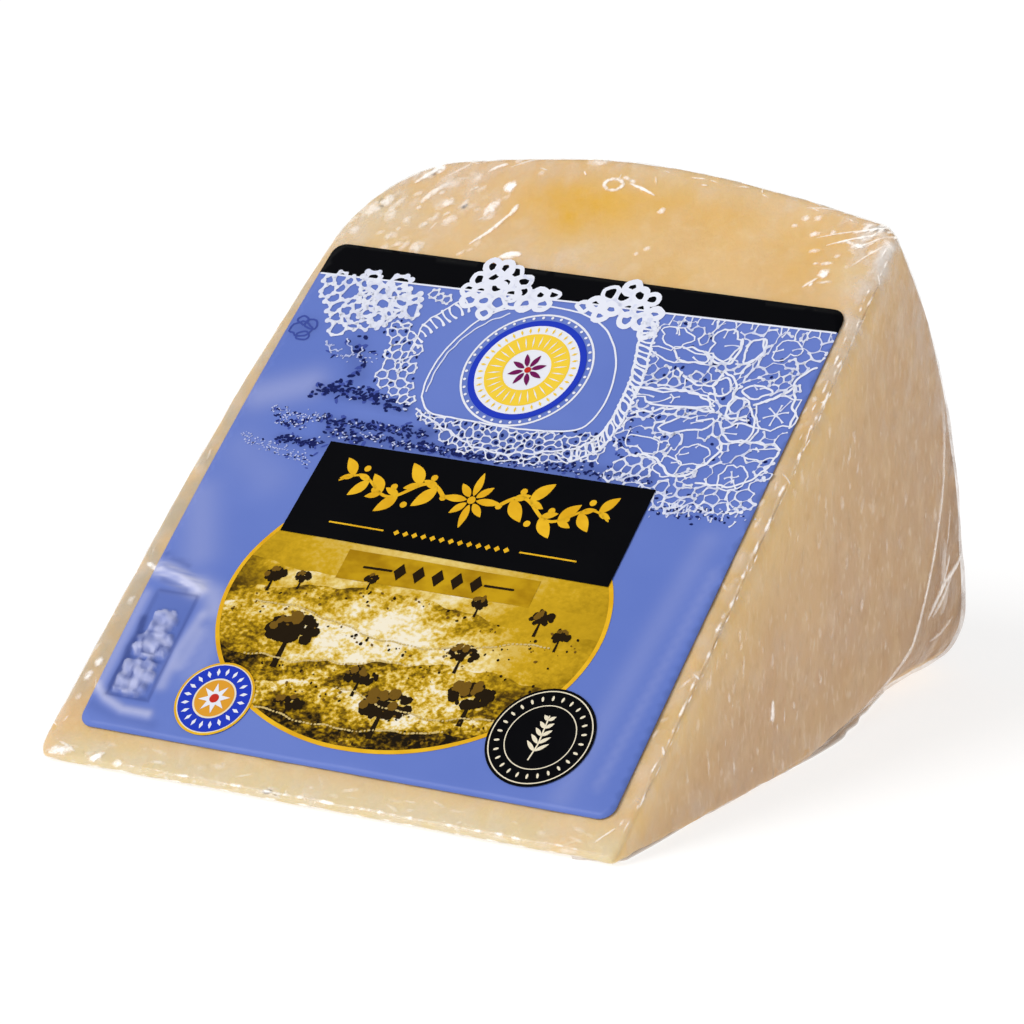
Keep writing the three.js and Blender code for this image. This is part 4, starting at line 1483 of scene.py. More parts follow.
def dark_seal():
    """A round dark seal with thin cream rings, dots and a sprig."""
    flats, threads, (cx, cv), r = Flats(), Lines(), DARK_SEAL, DARK_SEAL_RADIUS
    flats.add([ring((cx, cv), r, 72)], BLACK, 6, 0.9)
    for radius, width in ((r - 0.42, 0.075), (r - 2.35, 0.065)):
        threads.add(raised(ring((cx, cv), radius, 72), 8), width, closed=True)
    stem = [(cx - 0.2, cv - 3.1), (cx + 0.1, cv - 1.0), (cx, cv + 1.2), (cx - 0.1, cv + 2.9)]
    threads.add(raised(spaced(stem, 0.4, closed=False), 8), 0.10, knots=True)
    for k in range(5):
        height, size = -1.9 + 1.05 * k, 1.9 - 0.22 * k
        for side in (-1, 1):
            flats.add([leaf(cx, cv + height, size, 0.30, math.pi / 2 - side * 0.85)], CREAM, 8, 0.5)
    dots = row("seal_dots", ring((cx, cv), r - 1.38, 72), True, 26, 0.16, 0.36, CREAM, 8, 8)
    return joined("dark_seal", [flats.make("dark_field"), threads.make("dark_rings", CREAM, on_label), dots])


def medallion():
    """A round rosette where the label has its mark: rings of blue, white and yellow with petals."""
    flats, (cx, cv) = Flats(), MEDALLION
    flats.add([ring((cx, cv), 8.6, 72), ring((cx, cv), 8.32, 72)], WHITE, 2, 0.8)
    flats.add([ring((cx, cv), 7.6, 72)], DEEP_BLUE, 3, 0.9)
    flats.add([ring((cx, cv), 6.75, 72)], WHITE, 4, 0.9)
    flats.add([ring((cx, cv), 5.5, 64), ring((cx, cv), 3.1, 48)], YELLOW, 5, 0.8)
    for k in range(8):
        turn = k * math.pi / 4 + math.pi / 8
        petal = leaf(cx + 0.5 * math.cos(turn), cv + 0.5 * math.sin(turn), 2.0, 0.42, turn)
        flats.add([petal], PLUM, 6, 0.5)
    pieces = [flats.make("rosette_fields")]
    for name, radius, points, count, along, across, ink, lift, corners in (
        ("rosette_rays", 6.1, 72, 36, 0.16, 0.42, YELLOW, 6, 4),
        ("rosette_lines", 4.3, 72, 28, 0.10, 0.95, WHITE, 6, 4),
        ("rosette_border", 8.02, 72, 40, 0.20, 0.22, WHITE, 4, 8),
        ("rosette_heart", 0.1, 12, 1, 0.45, 0.45, RED, 7, 12),
    ):
        line = ring((cx, cv), radius, points)
        pieces.append(row(name, line, True, count, along, across, ink, lift, corners))
    return joined("medallion", pieces)


plate = black_plate()
ornament = plate_ornament()
gold_ribbon = ribbon()
seal_one = blue_seal()
seal_two = dark_seal()
rosette = medallion()


# ---------------------------------------------------------------- the picture

# Each rise of the ground: height, slow and quick waves, tone at its crest and foot, and coarseness.
CRESTS = [
    (32.6, 0.9, 0.17, 0.6, 0.35, 0.3, 0.62, 0.50, 0.25),
    (29.4, 1.3, 0.13, 2.1, 0.55, 0.5, 0.40, 0.72, 0.55),
    (25.2, 1.5, 0.16, 4.4, 0.45, 0.7, 0.80, 0.62, 0.60),
    (20.6, 1.4, 0.12, 0.2, 0.60, 1.6, 0.34, 0.66, 0.75),
    (15.8, 1.2, 0.20, 3.0, 0.50, 2.6, 0.86, 0.48, 0.80),
    (12.2, 0.9, 0.17, 5.2, 0.45, 4.0, 0.30, 0.52, 0.85),
]


def crest(level, x):
    height, slow, pace, start, quick, phase = CRESTS[level][:6]
    waves = 0.4 * np.sin(0.83 * x + phase) + 0.15 * np.sin(2.1 * x + 2 * phase)
    return height + slow * np.sin(pace * x + start) + quick * waves


def landscape():
    """An oval picture of low hills, walls and trees, in gold, cream and brown."""
    (cx, cv), (rx, rv) = PICTURE_CENTRE, PICTURE_SIZE
    rim = 0.55
    border = ring((cx, cv), (rx - rim, rv - rim), 140)
    x = np.linspace(cx - rx - 1, cx + rx + 1, 110)
    lines = [np.column_stack([x, crest(level, x)]) for level in range(len(CRESTS))]
    corners, faces = filled([border], 0.75, lines)
    middle = corners[faces].mean(1)
    level = np.full(len(faces), -1)
    for k in range(len(CRESTS)):
        level[middle[:, 1] < crest(k, middle[:, 0])] = k
    tone, coarse = np.zeros(faces.shape), np.zeros(faces.shape)
    for k in range(-1, len(CRESTS)):
        here = level == k
        px, pv = corners[faces[here]][..., 0], corners[faces[here]][..., 1]
        if k < 0:
            tone[here], coarse[here] = 0.74 - 0.009 * np.abs(px - 1) + 0.01 * (pv - 32), 0.10
            continue
        at_crest, at_foot, rough = CRESTS[k][6:]
        below = crest(k, px) - pv
        t = np.clip(below / 4.5, 0, 1)
        light = 0.10 * np.sin(0.31 * px + 1.7 * k) + 0.08 * np.sin(0.9 * px - 1.1 * pv + k)
        out_there = ((px - cx) / rx) ** 2 + ((pv - cv) / rv) ** 2
        light += 0.16 - 0.36 * out_there**1.5 - 0.10 * (pv < 20) * out_there
        side_light = smooth(7, 17, px) * smooth(17, 24, pv)
        shaded = blend(at_crest, at_foot, t) + light
        tone[here] = blend(shaded, 0.63 - 0.006 * (px - 12), 0.85 * side_light)
        coarse[here] = rough * (1 - 0.8 * side_light)
    points = to_frame(on_label(raised(corners, 2)))
    ground = new_piece("picture_ground", points, faces, [PICTURE], corner_values={
        "tone": np.clip(tone, 0.02, 1).ravel(), "roughness_of_ground": coarse.ravel(),
    })
    flats = Flats()
    flats.add([ring((cx, cv), (rx, rv), 140), ring((cx, cv), (rx - rim, rv - rim), 140)], GOLD, 2.5, 0.9)
    draw = np.random.default_rng(23)
    spots, sizes, sunny = [], [], []
    trees = (  # x, the rise that it stands on, height and spread
        (-19.5, 1, 2.3, 1), (-15.6, 1, 1.7, 1), (-6.5, 1, 1.5, 1), (8.8, 1, 1.9, 1), (17.4, 1, 2.4, 1),
        (20.8, 2, 2.0, 1.1), (-13.5, 3, 5.0, 1.15), (9.8, 3, 2.6, 1.3), (-1.6, 4, 2.6, 1.5),
        (13.6, 4, 4.0, 1.35), (-9.0, 5, 2.2, 1.6), (3.2, 5, 4.4, 1.3),
    )
    for tx, rise, size, wide in trees:
        base = float(crest(rise, tx)) - 0.25 * size
        trunk = [(tx - 0.09 * size, base), (tx + 0.09 * size, base),
            (tx + 0.05 * size, base + 0.8 * size), (tx - 0.05 * size, base + 0.8 * size)]
        flats.add([trunk], BROWN, 4, 0.8)
        for _ in range(int(16 + 9 * size)):
            angle, away = draw.uniform(0, 2 * math.pi), math.sqrt(draw.uniform(0, 1))
            dx, dv = math.cos(angle) * away, math.sin(angle) * away
            spots.append((tx + 0.55 * wide * size * dx, base + 1.1 * size + 0.40 * size * dv))
            sizes.append(draw.uniform(0.09, 0.17) * (size + 0.8))
            sunny.append(dv - 0.6 * dx + draw.normal() * 0.35 > 0.75)
    for _ in range(300):
        rise = draw.integers(1, 6)
        sx = draw.uniform(cx - rx + 2, cx + rx - 2)
        spots.append((sx, float(crest(rise, sx)) - abs(draw.normal()) * 1.3))
        sizes.append(draw.uniform(0.06, 0.26))
        sunny.append(draw.random() < 0.6)
    spots, sizes, sunny = np.array(spots), np.array(sizes), np.array(sunny)
    keep = (((spots[:, 0] - cx) / (rx - 1)) ** 2 + ((spots[:, 1] - cv) / (rv - 1)) ** 2) < 1
    shrubs = []
    for name, material, part in (("shrubs", BROWN, keep & ~sunny), ("sunny_shrubs", SEPIA, keep & sunny)):
        count = part.sum()
        turns = draw.uniform(0, 3, count)
        spread = np.column_stack([sizes[part], sizes[part] * draw.uniform(0.55, 1.0, count)])
        lifts = (4.2 + 0.6 * draw.random(count) + (0.8 if material is SEPIA else 0)) * PRINT_LIFT
        shrubs.append(flat_patches(name, spots[part], lifts, turns, spread, 7, material))
    walls = []
    for k, (rise, start, end) in enumerate(((2, -20, 20), (3, -18, 4), (4, -4, 19), (5, -13, 12))):
        x = np.linspace(start, end, 60)
        line = np.column_stack([x, crest(rise, x) + 0.12])
        walls.append(row(f"wall{k}", line, False, int((end - start) / 0.5), 0.24, 0.15, STONE, 5, 5, 0.6, k))
    made = joined("label_picture", [ground, *shrubs, *walls])
    return made, flats.make("picture_rim")


picture, picture_rim = landscape()


# ---------------------------------------------------------------- the lace

def net(area, spacing, seed, holes=(), gaps=0.0, jitter=0.3, closed=False):
    """An irregular net inside an area: its threads as pairs of ends, and the middles of its cells.

    Holes are larger openings: x, v, half sizes and turn. A closed net has no loose thread ends.
    """
    draw = np.random.default_rng(seed)
    area = np.array(area, float)
    low, high = area.min(0) - 3, area.max(0) + 3
    points = staggered(low, high, spacing, spacing * 0.87)
    points += draw.normal(size=points.shape) * jitter * spacing

    def open_place(place):
        for hx, hv, rx, rv, turn in holes:
            dx, dv = place[0] - hx, place[1] - hv
            along = dx * math.cos(turn) + dv * math.sin(turn)
            if math.hypot(along / rx, (dv * math.cos(turn) - dx * math.sin(turn)) / rv) < 1:
                return True
        return False

    corners, faces, _ = triangles(points, [])
    middles = corners[faces].mean(1)
    within = inside([area], middles)
    sides = {}
    for index, face in enumerate(faces):
        for a, b in zip(face, np.roll(face, -1)):
            sides.setdefault((min(a, b), max(a, b)), []).append(index)
    pairs = [
        pair for pair in sides.values()
        if len(pair) == 2 and within[pair].all() and draw.random() >= gaps
        and not open_place(middles[pair].mean(0))
    ]
    for _ in range(40 if closed else 1):
        use = np.bincount(np.ravel(pairs).astype(int), minlength=len(middles))
        pairs = [pair for pair in pairs if use[pair].min() > 1]
    cells = [point for point in points[inside([area], points)] if not open_place(point)]
    return [(middles[a], middles[b]) for a, b in pairs], cells


def widened(area, by):
    """An area's outline, moved outwards."""
    area = np.array(area, float)
    middle = area.mean(0)
    away = area - middle
    return middle + away * (1 + by / np.linalg.norm(away, axis=1))[:, None]


CLUSTER = [
    (-35.4, 77.1), (-32.2, 76.0), (-28.0, 75.3), (-26.3, 76.3), (-24.1, 74.9), (-20.3, 73.3),
    (-19.2, 71.8), (-19.1, 70.2), (-22.1, 69.6), (-24.1, 67.8), (-26.6, 67.5), (-28.1, 65.2),
    (-28.9, 65.9), (-30.9, 68.6), (-32.8, 70.4), (-34.5, 73.6),
]
COLUMN = [
    (-21.6, 69.8), (-17.3, 67.9), (-16.6, 68.0), (-15.8, 64.8), (-15.1, 61.7), (-13.3, 59.5),
    (-13.4, 57.5), (-15.5, 57.2), (-17.5, 58.9), (-19.3, 59.5), (-19.7, 62.7), (-20.5, 65.8),
    (-22.4, 67.4),
]
MOUNDS = [
    [
        (-14.6, 74.5), (-14.1, 76.2), (-13.1, 78.9), (-12.0, 79.6), (-9.0, 79.8), (-6.3, 79.5), (-5.5, 78.2),
        (-3.1, 76.4), (-2.0, 74.5), (-6.0, 74.0), (-8.6, 72.4), (-9.9, 72.0), (-12.6, 73.1),
    ],
    [
        (1.9, 74.7), (4.8, 76.1), (5.6, 78.3), (7.1, 79.0), (9.2, 78.8), (11.1, 78.3), (12.9, 75.8),
        (14.0, 72.6), (11.8, 71.6), (9.0, 73.4), (4.0, 74.0),
    ],
]
WIDE_NET = [
    (14.5, 73.6), (14.8, 69.8), (15.7, 67.5), (15.2, 63.1), (16.3, 58.9), (15.6, 56.9),
    (16.8, 53.1), (16.6, 50.4), (24.8, 47.4), (27.7, 47.5), (30.9, 47.8), (34.0, 48.5),
    (36.7, 48.1), (36.7, 53.9), (36.8, 61.2), (35.7, 64.5), (35.0, 68.7), (36.9, 70.3),
    (36.9, 75.3), (14.8, 75.4),
]
WIDE_NET_HOLES = [
    (16.9, 72.1, 2.1, 1.2, -0.25), (23.7, 71.8, 1.7, 2.0, -0.2), (27.9, 71.6, 1.1, 1.5, -0.2),
    (31.9, 72.1, 1.6, 1.3, -0.1), (19.0, 69.4, 3.4, 0.9, -0.1), (20.4, 63.2, 5.0, 1.1, 0.0),
    (23.4, 59.6, 3.1, 0.95, 0.25), (25.9, 65.8, 0.9, 1.3, 0.0), (30.4, 65.7, 1.7, 0.8, 0.0),
    (30.8, 59.5, 1.8, 1.2, 0.0), (34.2, 62.7, 2.3, 2.2, 0.0), (26.6, 55.6, 1.8, 1.4, 0.0),
    (23.8, 53.6, 1.5, 1.2, 0.0), (34.8, 56.9, 1.6, 0.9, 0.0), (32.6, 53.2, 1.6, 1.6, 0.0),
    (19.6, 56.3, 2.1, 1.0, -0.1),
]
MAIN_THREADS = [  # the wide net's thicker, longer threads
    [(17.7, 70.2), (18.6, 68.8), (20.3, 68.6), (22.0, 68.7), (22.5, 69.6), (21.6, 70.5), (18.7, 70.8)],
    [(21.7, 70.4), (23.3, 69.1), (25.1, 68.9), (26.0, 69.8), (25.9, 71.6), (25.7, 73.1)],
    [(26.2, 69.2), (27.9, 69.4), (28.8, 70.7), (28.9, 72.2), (28.3, 73.3)],
    [(25.2, 68.0), (26.8, 67.1), (27.9, 65.9), (27.8, 64.7), (27.8, 62.6), (28.1, 61.3), (31.2, 61.4)],
    [(27.8, 64.7), (29.3, 64.4), (30.7, 63.3), (32.0, 61.5), (32.5, 59.7), (32.2, 58.3), (30.4, 57.9)],
    [(36.6, 70.0), (35.1, 68.7), (34.9, 67.1), (35.5, 65.3), (36.6, 63.2), (36.6, 61.0)],
    [(14.6, 64.0), (17.2, 64.2), (20.2, 64.5), (23.0, 64.4), (24.8, 63.5), (26.3, 62.4)],
    [(16.2, 60.4), (17.5, 60.7), (20.7, 61.5), (22.2, 62.2), (24.0, 62.0), (26.3, 62.0)],
    [(18.7, 54.6), (21.3, 54.8), (23.4, 53.1), (25.0, 52.2), (27.0, 52.8), (29.5, 55.9), (29.3, 57.6)],
    [(28.3, 51.9), (31.2, 51.7), (33.1, 52.1), (35.2, 53.3), (36.4, 55.7), (36.7, 57.7)],
    [(32.5, 58.3), (34.2, 58.2), (35.8, 58.7), (36.7, 57.9)],
    [(31.1, 63.7), (32.7, 64.6), (34.5, 65.9), (34.8, 67.0)],
    [(25.2, 68.0), (25.1, 66.2), (24.6, 65.4), (22.5, 65.5), (20.3, 66.5)],
]
LOW_NET = [
    (-12.4, 58.4), (-10.8, 56.8), (-7.7, 56.4), (-2.5, 56.1), (3.0, 56.0), (8.2, 56.3),
    (12.5, 57.5), (14.8, 56.0), (15.8, 52.6), (9.2, 50.9), (1.7, 50.6), (-2.9, 50.9), (-6.9, 52.6),
    (-12.4, 56.0),
]
FRAME_LINE = [
    (-12.3, 58.8), (-13.0, 61.2), (-12.7, 65.3), (-11.4, 68.7), (-9.7, 71.6), (-6.9, 73.4),
    (-3.6, 74.2), (0, 74.4), (4.1, 73.7), (7.4, 72.2), (9.6, 69.8), (11.1, 67.1), (12.0, 63.8),
    (12.0, 60.3), (11.1, 57.3), (8.2, 56.3), (3.0, 55.9), (-2.5, 56.0), (-7.7, 56.3), (-10.8, 56.6),
]
LADDER = [  # both sides, from the top
    [(11.6, 74.4), (12.8, 69.5), (13.9, 65.7), (14.0, 61.3), (13.9, 58.2), (13.0, 55.6), (10.8, 54.0)],
    [(13.6, 74.4), (14.7, 69.4), (15.5, 65.1), (15.5, 60.8), (15.2, 57.2), (14.2, 54.2), (11.4, 52.4)],
]
SHORT_LADDER = [
    [(-16.3, 65.0), (-15.9, 68.0), (-14.2, 69.8), (-11.9, 72.2)],
    [(-17.0, 65.4), (-17.3, 69.4), (-15.3, 71.9), (-13.4, 73.8)],
]


def evenly(line, count):
    """That many places, evenly along a line whose corners are rounded off."""
    line = np.array(line, float)
    for _ in range(2):
        near, far = 0.75 * line[:-1] + 0.25 * line[1:], 0.25 * line[:-1] + 0.75 * line[1:]
        line = np.concatenate([line[:1], np.stack([near, far], 1).reshape(-1, 2), line[-1:]])
    length = np.concatenate([[0], np.cumsum(np.linalg.norm(np.diff(line, axis=0), axis=1))])
    at = np.linspace(0, length[-1], count)
    return np.column_stack([np.interp(at, length, line[:, 0]), np.interp(at, length, line[:, 1])])


def lace():
    """White lace over the upper half of the label, and the dark cells that show through it."""
    threads, dark = Lines(), []
    draw = np.random.default_rng(3)

    def thread(points, width, strength=1.0, closed=False, wobble=0.0, knots=False):
        points = np.array(points, float)
        if wobble:
            seed = len(threads.points)
            sway = [ripple(points, 2.2, seed + 1), ripple(points, 2.2, seed + 2)]
            points = points + wobble * np.column_stack(sway)
        layers = 3.0 + 0.15 * (len(threads.points) % 7)
        threads.add(raised(points, layers), width, strength, closed=closed, knots=knots)

    def short(a, b, width, strength=1.0):
        """One thread of a net, a little bowed and thicker at its ends."""
        t = np.linspace(0, 1, 5)
        way = np.array(b) - a
        sway = draw.uniform(-0.13, 0.13) * np.sin(np.pi * t)
        points = a + way * t[:, None] + np.column_stack([-way[1] * sway, way[0] * sway])
        thread(points, width * (1.35 - 0.65 * np.sin(np.pi * t)), strength, knots=width > 0.12)

    def fill(area, spacing, seed, width, uneven=0.3, strength=(0.8, 1.0), shade=0.0, **kind):
        found, cells = net(area, spacing, seed, **kind)
        for a, b in found:
            short(a, b, width * draw.uniform(1 - uneven, 1 + uneven), draw.uniform(*strength))
        dark.extend(cell for cell in cells if draw.random() < shade)

    def rings(area, spacing, seed, width):
        """Thick lace: a ring round every cell, with its neighbours' rings grown into it."""
        for cell in net(area, spacing, seed, jitter=0.13)[1]:
            loop = ring(cell, spacing * draw.uniform(0.46, 0.56) * np.array([1, draw.uniform(0.8, 1.1)]), 16)
            thread(loop, width * draw.uniform(0.75, 1.25), closed=True, wobble=0.12)

    # The thin rule under the dark band.
    stops = (LABEL_LEFT + 0.1, -19.5, -3.0, 14, 34.6, LABEL_RIGHT - 0.1)
    for start, end in zip(stops, stops[1:]):
        thread([(x, BAND_EDGE - 0.12) for x in (start, (start + end) / 2, end)], 0.13)
    # Thick lace: the corner's cluster and two mounds on the band, with a chain between them.
    fill(widened(CLUSTER, 0.9), 1.7, 5, 0.24, closed=True, jitter=0.28)
    fill([(-30, 76.6), (-24.0, 77.2), (-18.4, 74.0), (-18.2, 68.6), (-24.5, 66.6), (-27.8, 70.4)],
        2.0, 6, 0.3, closed=True)
    for seed, mound in enumerate(MOUNDS):
        rings(mound, 1.95, 11 + seed, 0.36)
        fill(mound, 1.95, 11 + seed, 0.16, jitter=0.13)
    rings([(-4.0, 76.9), (0.0, 76.2), (3.0, 76.3), (3.0, 75.3), (-4.0, 75.2)], 1.5, 15, 0.22)
    fill([(-20.0, 75.2), (-14.4, 75.4), (-14.6, 72.8), (-18.6, 72.8)], 1.1, 16, 0.15, closed=True)
    fill([(11.2, 74.6), (14.2, 75.2), (15.2, 71.0), (13.8, 68.6), (12.6, 71.8)], 1.4, 17, 0.15, closed=True)
    # The frame round the medallion, with its ladders.
    outline = evenly([*FRAME_LINE, FRAME_LINE[0]], 150)[:-1]
    thread(outline, 0.12, closed=True, wobble=0.03)
    thread(evenly([(-12.1, 59.5), (-12.3, 64.5), (-10.9, 68.1), (-8.8, 70.9), (-6.2, 72.6)], 40),
        0.10, 0.8, wobble=0.06)
    for sides, count, width in ((LADDER, 27, 0.17), (SHORT_LADDER, 11, 0.13)):
        inner, outer = (evenly(side, count) for side in sides)
        if width > 0.15:
            thread(evenly(sides[0], 60), width, wobble=0.09)
        thread(evenly(sides[1], 60), width * 0.9, 0.95, wobble=0.09)
        for a, b in zip(inner, outer):
            short(a, b + draw.uniform(-0.15, 0.15, 2), width * draw.uniform(0.8, 1.2))
    # Thin nets: the left column, the strip below the frame and the wide net on the right.
    fill(widened(COLUMN, 0.7), 1.25, 81, 0.13, closed=True, shade=0.3)
    fill([(-30.0, 65.6), (-26.4, 66.6), (-20.6, 64.2), (-22.0, 62.6), (-29.0, 62.8)],
        1.1, 82, 0.11, gaps=0.35, strength=(0.3, 0.7))
    fill(LOW_NET, 1.12, 83, 0.115, gaps=0.03, shade=0.7)
    thread(evenly([(-12.4, 57.0), (-6.9, 54.4), (-2.9, 52.6), (1.7, 52.0), (6.2, 52.8), (10.4, 54.2)], 50),
        0.13, 0.9, wobble=0.2)
    wide = widened(WIDE_NET, 0.8)
    wide[:, 1] = np.minimum(wide[:, 1], BAND_EDGE - 0.3)
    openings = [(hx, hv, 1.15 * rx, 1.15 * rv, turn) for hx, hv, rx, rv, turn in WIDE_NET_HOLES]
    fill(wide, 1.4, 91, 0.12, uneven=0.65, gaps=0.05, holes=openings, jitter=0.46, shade=0.1,
        strength=(0.65, 1.0))
    for line in MAIN_THREADS:
        thread(evenly(line, 12 * len(line)), draw.uniform(0.13, 0.17), wobble=0.13, knots=True)
    for hx, hv, rx, rv, turn in WIDE_NET_HOLES:  # a thread round each opening, and threads that cross it
        c, s = math.cos(turn), math.sin(turn)
        loop = ring((0, 0), (1.12 * rx, 1.12 * rv), 22) @ np.array([[c, s], [-s, c]])
        loop = loop * (1 + 0.2 * ripple(loop, 2.2, int(10 * hx)))[:, None] + (hx, hv)
        loop[:, 1] = np.minimum(loop[:, 1], BAND_EDGE - 0.2)
        thread(loop, draw.uniform(0.09, 0.15), 0.95, closed=True, wobble=0.15, knots=True)
        for _ in range(2 if rx > 1.5 else 1):
            angle = draw.uniform(0, 2 * math.pi)
            start = np.array([hx + 1.15 * rx * math.cos(angle), hv + 1.15 * rv * math.sin(angle)])
            way = np.array([hx, hv]) - start + draw.normal(size=2) * 0.4
            short(start, start + way * draw.uniform(0.35, 0.9), 0.1, draw.uniform(0.7, 1))
    low_edge = [
        (15.8, 53.0), (22, 51.0), (29, 50.0), (36.6, 50.4), (36.6, 48.0), (24.6, 47.2), (22.6, 48.2),
        (16.4, 50.4),
    ]
    fill(low_edge, 1.3, 93, 0.1, gaps=0.3, shade=0.2, strength=(0.6, 1.0))
    for x in np.linspace(15.6, 36.2, 17):  # threads that hang from the rule
        top = np.array([x + draw.uniform(-0.4, 0.4), BAND_EDGE - 0.1])
        short(top, top + (draw.uniform(-0.6, 0.6), draw.uniform(-1.9, -0.9)), 0.11, draw.uniform(0.75, 1))
    # A star in one opening, and sprigs below the net's edge.
    for x, v, arms, reach in ((34.3, 62.6, 6, 1.6), (20.5, 63.2, 3, 0.8), (32.4, 53.2, 4, 0.9)):
        for k in range(arms):
            turn = k * 2 * math.pi / arms + 0.4
            short(np.array([x, v]), (x + reach * math.cos(turn), v + reach * math.sin(turn)), 0.11, 0.85)
    for _ in range(22):
        place = np.array([draw.uniform(24.2, 36.4), draw.uniform(47.2, 48.8)])
        turn, length = draw.uniform(-2.2, -0.9), draw.uniform(0.4, 1.1)
        short(place, place + length * np.array([math.cos(turn), math.sin(turn)]), 0.11, draw.uniform(0.6, 1))
    return threads.make("lace", LACE, on_label), dark


def flecks(cells):
    """Dark cells in the lace, and the rows of dark and pale flecks where it runs out on the left."""
    draw = np.random.default_rng(41)
    rows = (  # line, spread, number, share that is pale, size
        ([(-26.8, 57.2), (-25.6, 58.4), (-20.8, 58.0), (-13.4, 56.8)], 0.5, 75, 0.12, 1.25),
        ([(-31.6, 54.2), (-28.3, 53.5), (-24.5, 53.7)], 0.45, 60, 0.85, 0.8),
        ([(-25.0, 53.7), (-9.0, 53.4)], 0.38, 90, 0.15, 1.0),
        ([(-30.0, 52.3), (-26.0, 52.3)], 0.35, 26, 0.5, 0.9),
        ([(-28.6, 49.9), (-21.9, 49.8)], 0.36, 48, 0.15, 1.0),
        ([(-22.2, 51.5), (-19.4, 52.0), (-8.7, 51.4), (3.0, 51.3)], 0.42, 170, 0.25, 1.05),
        ([(3.0, 51.3), (16.0, 51.0), (23.0, 50.8)], 0.5, 110, 0.4, 0.85),
        ([(-34.0, 49.7), (-29.8, 48.5), (-22.3, 47.3)], 0.45, 90, 0.9, 0.75),
        ([(-23.7, 66.6), (-25.2, 64.8), (-22.2, 63.1), (-22.5, 60.6), (-24.9, 58.7)], 0.45, 14, 0.0, 1.4),
        ([(-28.3, 63.7), (-20.8, 63.3)], 0.5, 18, 0.9, 1.0),
        ([(24.0, 47.4), (36.4, 47.6)], 0.7, 36, 0.3, 0.85),
        ([(31.6, 64.4), (31.0, 60.4)], 0.5, 8, 0.1, 0.8),
        ([(16.4, 60.6), (17.2, 54.6)], 0.7, 16, 0.2, 0.9),
    )
    chosen = {material: ([], []) for material in (MID_BLUE, NAVY, PALE_BLUE)}
    for line, spread, count, pale, size in rows:
        for place in evenly(line, int(1.35 * count)):
            place = place + draw.normal(size=2) * spread
            if place[0] < LABEL_LEFT + 0.2 or (-22.4 < place[0] < 24.2 and place[1] < 50.6):
                continue
            big = size * np.array([draw.uniform(0.16, 0.44), draw.uniform(0.1, 0.23)])
            if draw.random() < pale:
                chosen[PALE_BLUE][0].append(place)
                chosen[PALE_BLUE][1].append(0.6 * big)
                continue
            chosen[NAVY][0].append(place)
            chosen[NAVY][1].append(big)
            if draw.random() < 0.4:
                chosen[MID_BLUE][0].append(place + draw.normal(size=2) * 0.3)
                chosen[MID_BLUE][1].append(1.3 * big)
    for cell in cells:
        chosen[NAVY][0].append(cell)
        chosen[NAVY][1].append(draw.uniform(0.16, 0.34, 2))
    made = []
    for layer, (material, (places, sizes)) in enumerate(chosen.items()):
        layers = 1.2 + 0.7 * layer + (1.6 if material is PALE_BLUE else 0)
        lifts = layers * PRINT_LIFT + 0.004 * draw.random(len(places))
        turns = draw.normal(size=len(places)) * 0.6
        made.append(flat_patches(f"flecks{layer}", places, lifts, turns, sizes, 6, material))
    smudge = Lines()
    for k, (x, v, r) in enumerate((
        (-33.6, 66.6, 1.5), (-32.6, 67.4, 1.0), (-33.9, 67.9, 0.8), (-32.9, 65.6, 0.9),
    )):
        loop = ring((x, v), (r, 0.75 * r), 18)
        loop = loop + 0.15 * np.column_stack([ripple(loop, 1.6, k), ripple(loop, 1.6, k + 9)])
        smudge.add(raised(loop, 2.2), 0.13, closed=True)
    made.append(smudge.make("smudge", MID_BLUE, on_label))
    return joined("lace_flecks", made)


white_lace, dark_cells = lace()
lace_flecks = flecks(dark_cells)


# ---------------------------------------------------------------- the pieces put in place of the imported parts

def show(piece, slot, *nodes):
    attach(piece, "root")
    if nodes:
        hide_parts(*nodes)


show(cheese, "filmed_cheese", "cheese_pack")
show(film, "film", "cheese_pack")
show(lip, "film")
show(folds, "film")
show(pockets, "film")
show(sheet, "label_print", "label")
show(plate, "black_print")
show(ornament, "gold_print")
show(gold_ribbon, "gold_print")
show(seal_one, "label_print")
show(seal_two, "black_print")
show(rosette, "label_print")
show(picture, "gold_print")
show(picture_rim, "gold_print")
show(white_lace, "white_print")
show(lace_flecks, "label_print")


# ---------------------------------------------------------------- floor, light and camera

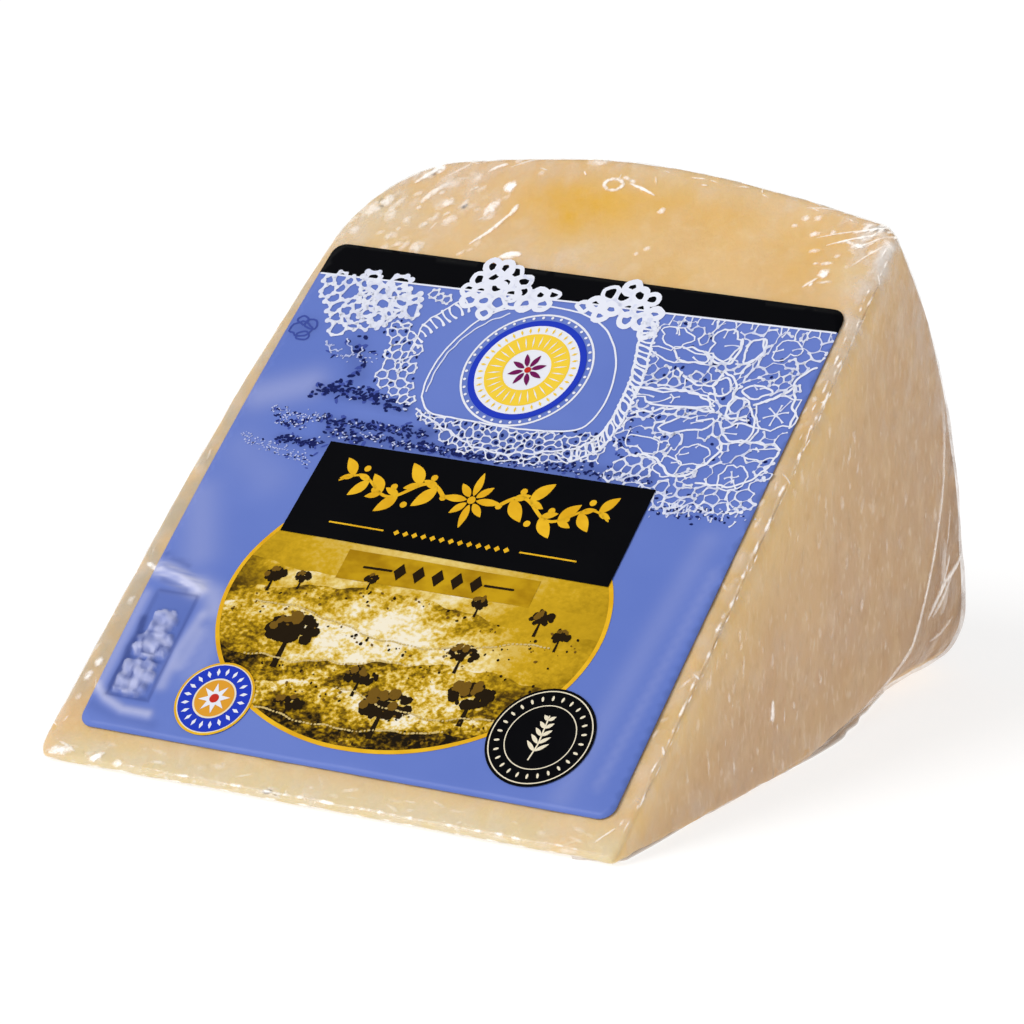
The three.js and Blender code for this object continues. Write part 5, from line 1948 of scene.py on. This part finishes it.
def floor():
    """A pale floor that is itself a little bright, as on a light table."""
    pale_floor = new_material(
        "pale_floor", Base_Color=(0.42, 0.42, 0.42, 1), Roughness=0.8, Specular_IOR_Level=0.0,
        Emission_Color=(1, 1, 1, 1), Emission_Strength=0.72,
    )[0]
    size, low = 3.0, -0.0001
    corners = [(-size, -size, low), (size, -size, low), (size, size, low), (-size, size, low)]
    new_piece("floor", corners, [(0, 1, 2, 3)], [pale_floor])


def studio():
    """Light from all round, dimmer from above, and one soft key light from the upper left."""
    world = bpy.data.worlds.new("studio")
    world.use_nodes = True
    tree = world.node_tree
    way = node(tree, "ShaderNodeTexCoord").outputs["Generated"]
    height = node(tree, "ShaderNodeSeparateXYZ", {0: way}).outputs["Z"]
    ends = {"Value": height, "From Min": 0.0, "From Max": 0.9, "To Min": 0.85, "To Max": 0.30}
    strength = node(tree, "ShaderNodeMapRange", ends).outputs[0]
    tree.nodes["Background"].inputs["Color"].default_value = (1, 1, 1, 1)
    tree.links.new(strength, tree.nodes["Background"].inputs["Strength"])
    bpy.context.scene.world = world
    data = bpy.data.lights.new("key", "SUN")
    data.energy, data.angle = 1.62, math.radians(32)
    lamp = bpy.data.objects.new("key", data)
    bpy.context.scene.collection.objects.link(lamp)
    lamp.rotation_euler = Vector((-0.42, -0.62, 0.66)).to_track_quat("Z", "Y").to_euler()


floor()
studio()
bpy.context.scene.view_settings.view_transform = "Standard"

CAMERA_PLACE = (0.273985, -0.458914, 0.156849)
CAMERA_AZIMUTH, CAMERA_ELEVATION = math.radians(31.109), math.radians(13.907)
FOCAL_PIXELS, FRAME_PIXELS, SENSOR = 4556.0, 1024, 36.0

camera_data = bpy.data.cameras.new("camera")
camera_data.sensor_width = SENSOR
camera_data.lens = FOCAL_PIXELS / FRAME_PIXELS * SENSOR
camera_data.clip_start, camera_data.clip_end = 0.01, 20
camera = bpy.data.objects.new("camera", camera_data)
bpy.context.scene.collection.objects.link(camera)
back = Vector((
    math.sin(CAMERA_AZIMUTH) * math.cos(CAMERA_ELEVATION),
    -math.cos(CAMERA_AZIMUTH) * math.cos(CAMERA_ELEVATION),
    math.sin(CAMERA_ELEVATION),
))
camera.location = CAMERA_PLACE
camera.rotation_euler = (-back).to_track_quat("-Z", "Y").to_euler()
bpy.context.scene.camera = camera
